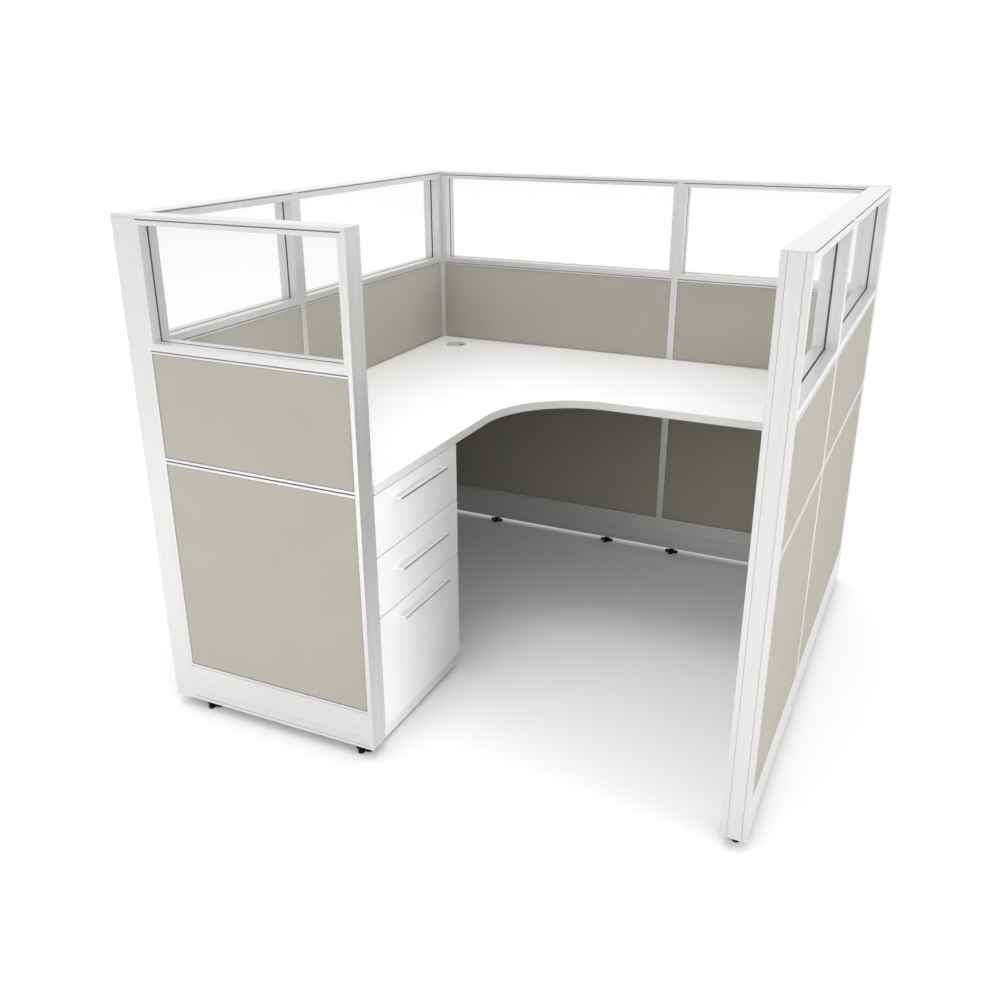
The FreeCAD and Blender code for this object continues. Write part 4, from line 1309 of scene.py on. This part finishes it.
@dataclass
class Grommet:
    """The cord grommet: a flanged liner and its turning cap with a slot."""

    centre: Pair = GROMMET_PLACE
    top: float = 748.0
    bottom: float = 720.0
    sleeve: Pair = (27.7, 29.7)
    flange: float = 35.0
    recess: float = 32.5
    disc: float = 32.2
    skirt: Pair = (25.4, 27.4)
    slot_half: float = 8.0
    slot_end: float = 19.4
    rest_drop: float = 2.0
    rim: float = 1.0
    rim_step: float = 0.3
    bevel: float = 0.5
    play: float = 0.3
    skirt_drop: float = 7.7
    softness: float = 0.45
    liner_steps: int = 96
    disc_steps: int = 72
    slot_steps: int = 20
    skirt_steps: int = 48

    def build(self) -> None:
        """The liner on the workstation and the cap on its own body."""
        rest = self.top - self.rest_drop
        self.build_liner(rest)
        self.build_cap(rest)

    def build_liner(self, rest: float) -> None:
        """The flanged sleeve in the worktop.

        Args:
            rest: The level that the cap lies over.
        """
        inner, outer = self.sleeve
        flange, recess, top, rim = self.flange, self.recess, self.top, self.rim
        liner = Form()
        liner.turned([(inner, self.bottom), (outer, self.bottom), (outer, rest - rim),
                      (flange, rest - rim), (flange, top - rim),
                      (flange - self.rim_step, top - self.rim_step), (flange - rim, top),
                      (recess + self.bevel, top), (recess, top - self.bevel),
                      (recess, rest), (inner, rest)], self.centre, self.liner_steps,
                     Finishes.GROMMET)
        liner.finished("grommet_sleeve", ["grommet_liner"])

    def build_cap(self, rest: float) -> None:
        """The slotted disc and its skirt.

        Args:
            rest: The level that the disc lies over.
        """
        cap = Form()
        turn = math.asin(self.slot_half / self.disc)
        x, y = self.centre
        rim = circle(self.disc, self.centre, self.disc_steps, turn, math.tau - turn)
        end = circle(self.slot_half, (x + self.slot_end, y), self.slot_steps, math.pi * 1.5,
                     math.pi / 2)
        under = rest + self.play
        plate = cap.plate(rim + end, [], (under, self.top), Finishes.GROMMET)
        cap.soften(self.softness, verts=plate)
        inner, outer = self.skirt
        turns = [math.asin(self.slot_half / radius) for radius in (inner, outer)]
        wall = (circle(outer, self.centre, self.skirt_steps, turns[1], math.tau - turns[1])
                + circle(inner, self.centre, self.skirt_steps, math.tau - turns[0], turns[0]))
        cap.plate(wall, [], (rest - self.skirt_drop, under), Finishes.GROMMET)
        cap.finished("grommet_turning_cap", ["grommet_cap"], "grommet_cap")


# -------------------------------------------------------------------- pedestal


@dataclass
class Drawer:
    """One drawer: its front, box and pull, and the slides that carry it."""

    name: str
    front: Pair
    pull_level: float
    depth: Pair = (633.0, 651.0)
    width: Pair = (62.0, 490.0)
    reach: float = 672.0
    pull_ends: Pair = (153.0, 399.0)
    section: Pair = (7.0, 6.0)
    softness: float = 1.4
    pull_softness: float = 0.7
    metal_softness: float = 0.3

    def build(self) -> None:
        """Every piece that moves with the drawer, and the middle members."""
        form = Form()
        form.block(self.depth, self.width, self.front, Finishes.PEDESTAL)
        form.soften(self.softness, ROUND_STEPS)
        form.finished(f"{self.name}_face", [f"{self.name}_front"], self.name)
        self.build_pull()
        for part, body, finish in (("box", self.name, Finishes.DRAWER),
                                   ("slide_inner", self.name, Finishes.ZINC),
                                   ("slide_middle", f"{self.name}_slides", Finishes.ZINC)):
            node = f"{self.name}_{part}"
            rounded_copy(f"{node}_metal", node, finish, self.metal_softness, body)

    def build_pull(self) -> None:
        """Flat bar whose two ends turn back to the front."""
        form = Form()
        face, out = self.depth[1], self.reach
        low, high = self.pull_ends
        width, thickness = self.section
        outline = [(face, low), (out, low), (out, high), (face, high), (face, high - width),
                   (out - width, high - width), (out - width, low + width), (face, low + width)]
        half = thickness / 2
        form.bar(outline, Run.Z, (self.pull_level - half, self.pull_level + half), Finishes.PULL)
        form.soften(self.pull_softness, ROUND_STEPS)
        # Painted shade: the faces of the bar that look along the front wear the darker copy of the
        # metal
        form.wear_where(Finishes.PULL_SHADED_FACE, lambda side: (
            side.normal.x > FACING and side.calc_center_median().x > out - width))
        form.finished(f"{self.name}_bar", [f"{self.name}_pull"], self.name)


@dataclass
class Pedestal:
    """The three-drawer pedestal under the left run of the worktop."""

    drawers: list[Drawer]
    case_softness: float = 0.7
    slide_softness: float = 0.3

    def build(self) -> None:
        """Case, case members of the slides, and the drawers."""
        rounded_copy("pedestal_shell", "pedestal_case", Finishes.PEDESTAL, self.case_softness)
        rounded_copy("case_slide_channels", "slide_case_members", Finishes.ZINC,
                     self.slide_softness)
        for drawer in self.drawers:
            drawer.build()


# ---------------------------------------------------------------------- studio


@dataclass(frozen=True)
class Lamp:
    """A square soft lamp, in metres and watts, aimed at a place."""

    name: str
    place: Triple
    size: float
    power: float
    aim: Triple = (0.0, 0.0, 0.6)

    def build(self) -> None:
        """Hang the lamp."""
        data = bpy.data.lights.new(self.name, "AREA")
        data.size = self.size
        data.energy = self.power
        thing = bpy.data.objects.new(self.name, data)
        thing.location = self.place
        thing.visible_glossy = False
        aim = Vector(self.aim) - Vector(self.place)
        thing.rotation_euler = aim.to_track_quat("-Z", "Y").to_euler()
        bpy.context.scene.collection.objects.link(thing)


@dataclass
class Studio:
    """Floor, soft light and the camera of the photograph, in metres."""

    eye: Triple = (1.0545, -2.622, 1.6044)
    tilt: float = 67.95
    turn: float = 24.85
    lens: float = 36.03
    sight: float = 200.0
    floor_half: float = 40.0
    floor_grain: float = 40.0
    floor_tones: Triple = (0.50, 0.51, 0.97)
    sky: tuple[Pair, ...] = ((0.26, 0.0), (0.34, 1.6), (0.66, 1.6), (0.74, 0.88))
    lamps: tuple[Lamp, ...] = (
        Lamp("overhead", (0.0, 0.0, 9.0), 3.0, 115.0),
        Lamp("right_front", (7.0, -2.2, 0.8), 2.2, 265.0),
        Lamp("low_left", (-1.0, -3.1, 0.2), 1.2, 36.0, (-0.5, -0.8, 0.2)),
        Lamp("low_right", (1.3, -2.7, 0.25), 0.9, 3.0, (0.77, -0.7, 0.4)))

    def build_floor(self) -> None:
        """Pale floor: white where it is seen and lit, and it keeps the shadows."""
        form = bmesh.new()
        bmesh.ops.create_grid(form, x_segments=1, y_segments=1, size=self.floor_half)
        data = bpy.data.meshes.new("floor")
        form.to_mesh(data)
        form.free()
        material = bpy.data.materials.new("pale_floor")
        paint = Paint(material)
        grain = paint.noise(paint.place(), self.floor_grain, detail=3.0)
        low, high, white = ((tone,) * 3 for tone in self.floor_tones)
        colour = paint.between(grain, low, high)
        base = paint.node("ShaderNodeBsdfDiffuse", {}, {"Color": colour})
        seen = paint.node("ShaderNodeBsdfDiffuse", {}, {"Color": (*white, 1.0)})
        paint.surface(paint.node("ShaderNodeMixShader", {},
                                 {0: paint.seen_directly(), 1: base, 2: seen}))
        floor = bpy.data.objects.new("floor", data)
        data.materials.append(material)
        bpy.context.scene.collection.objects.link(floor)

    def build_sky(self) -> None:
        """Surroundings: even white to the eye, and a light that grows with its height."""
        world = bpy.data.worlds.new("studio")
        bpy.context.scene.world = world
        paint = Paint(world)
        way = paint.node("ShaderNodeTexCoord", output="Generated")
        up = paint.node("ShaderNodeSeparateXYZ", {}, {0: way}, "Z")
        light: Wire | float = self.sky[0][1]
        for low, high in zip(self.sky, self.sky[1:]):
            light = paint.graded(up, (low[0], 0.0), (high[0], high[1] - low[1])) + light
        strength = paint.seen_directly().greatest(light)
        paint.surface(paint.node("ShaderNodeBackground", {}, {"Color": (1.0, 1.0, 1.0, 1.0),
                                                              "Strength": strength}))

    def build_camera(self) -> None:
        """The photograph's camera."""
        data = bpy.data.cameras.new("camera")
        data.lens = self.lens
        data.clip_end = self.sight
        camera = bpy.data.objects.new("camera", data)
        camera.location = self.eye
        camera.rotation_euler = (math.radians(self.tilt), 0.0, math.radians(self.turn))
        bpy.context.scene.collection.objects.link(camera)
        bpy.context.scene.camera = camera

    def build(self) -> None:
        """Everything round the workstation."""
        self.build_floor()
        self.build_sky()
        for lamp in self.lamps:
            lamp.build()
        self.build_camera()
        bpy.context.scene.view_settings.view_transform = "Standard"


# ------------------------------------------------------------------------ main


def dress_kept_nodes(walls: Sequence[PanelWall]) -> None:
    """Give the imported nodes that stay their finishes.

    Args:
        walls: The walls, whose panes and frames stay as packed.
    """
    kept: dict[str, Finish] = {"glazing_gaskets": Finishes.RUBBER,
                               "joining_strips": Finishes.STRIP}
    for wall in walls:
        kept[f"{wall.name}_glass"] = Finishes.GLASS
        kept[f"{wall.name}_frame"] = Finishes.PRIMER
    for node, finish in kept.items():
        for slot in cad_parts[node].material_slots:
            slot.material = finish.material()


def main() -> None:
    """Build and dress the workstation, and set the studio round it."""
    logging.basicConfig(level=logging.INFO, format="%(name)s %(message)s")
    # The last argument of each wall is the painted shade in the reveal under its cap
    walls = [PanelWall("wing", (PANEL, 0.0), 0.0, [NARROW], THICK_CAP, NARROW, Finishes.SEAM_SHADE),
             PanelWall("right_wall", (FOOTPRINT, PANEL), 90.0, [NARROW, WIDE], THIN_CAP, 0.0,
                       Finishes.REVEAL_SHADE),
             PanelWall("back_wall", (INNER, FOOTPRINT), 180.0, [NARROW, WIDE], THICK_CAP, None,
                       Finishes.SEAM_SHADE),
             PanelWall("left_wall", (0.0, INNER), -90.0, [WIDE, NARROW], THIN_CAP, None,
                       Finishes.SEAM_SHADE)]
    for wall in walls:
        wall.build()
    for group in (BaseCovers(walls), EndStrips(walls), Glides(walls),
                  CornerPosts({"post_front_left": (0.0, 0.0), "post_back_left": (0.0, INNER),
                               "post_back_right": (INNER, INNER)}),
                  Worktop(), Screws(), Grommet(),
                  Pedestal([Drawer("top_drawer", front=(553.0, 716.0), pull_level=680.0),
                            Drawer("middle_drawer", front=(387.0, 550.0), pull_level=486.5),
                            Drawer("file_drawer", front=(60.0, 384.0), pull_level=345.5)])):
        group.build()
    dress_kept_nodes(walls)
    Studio().build()


if __name__ == "__main__":
    main()
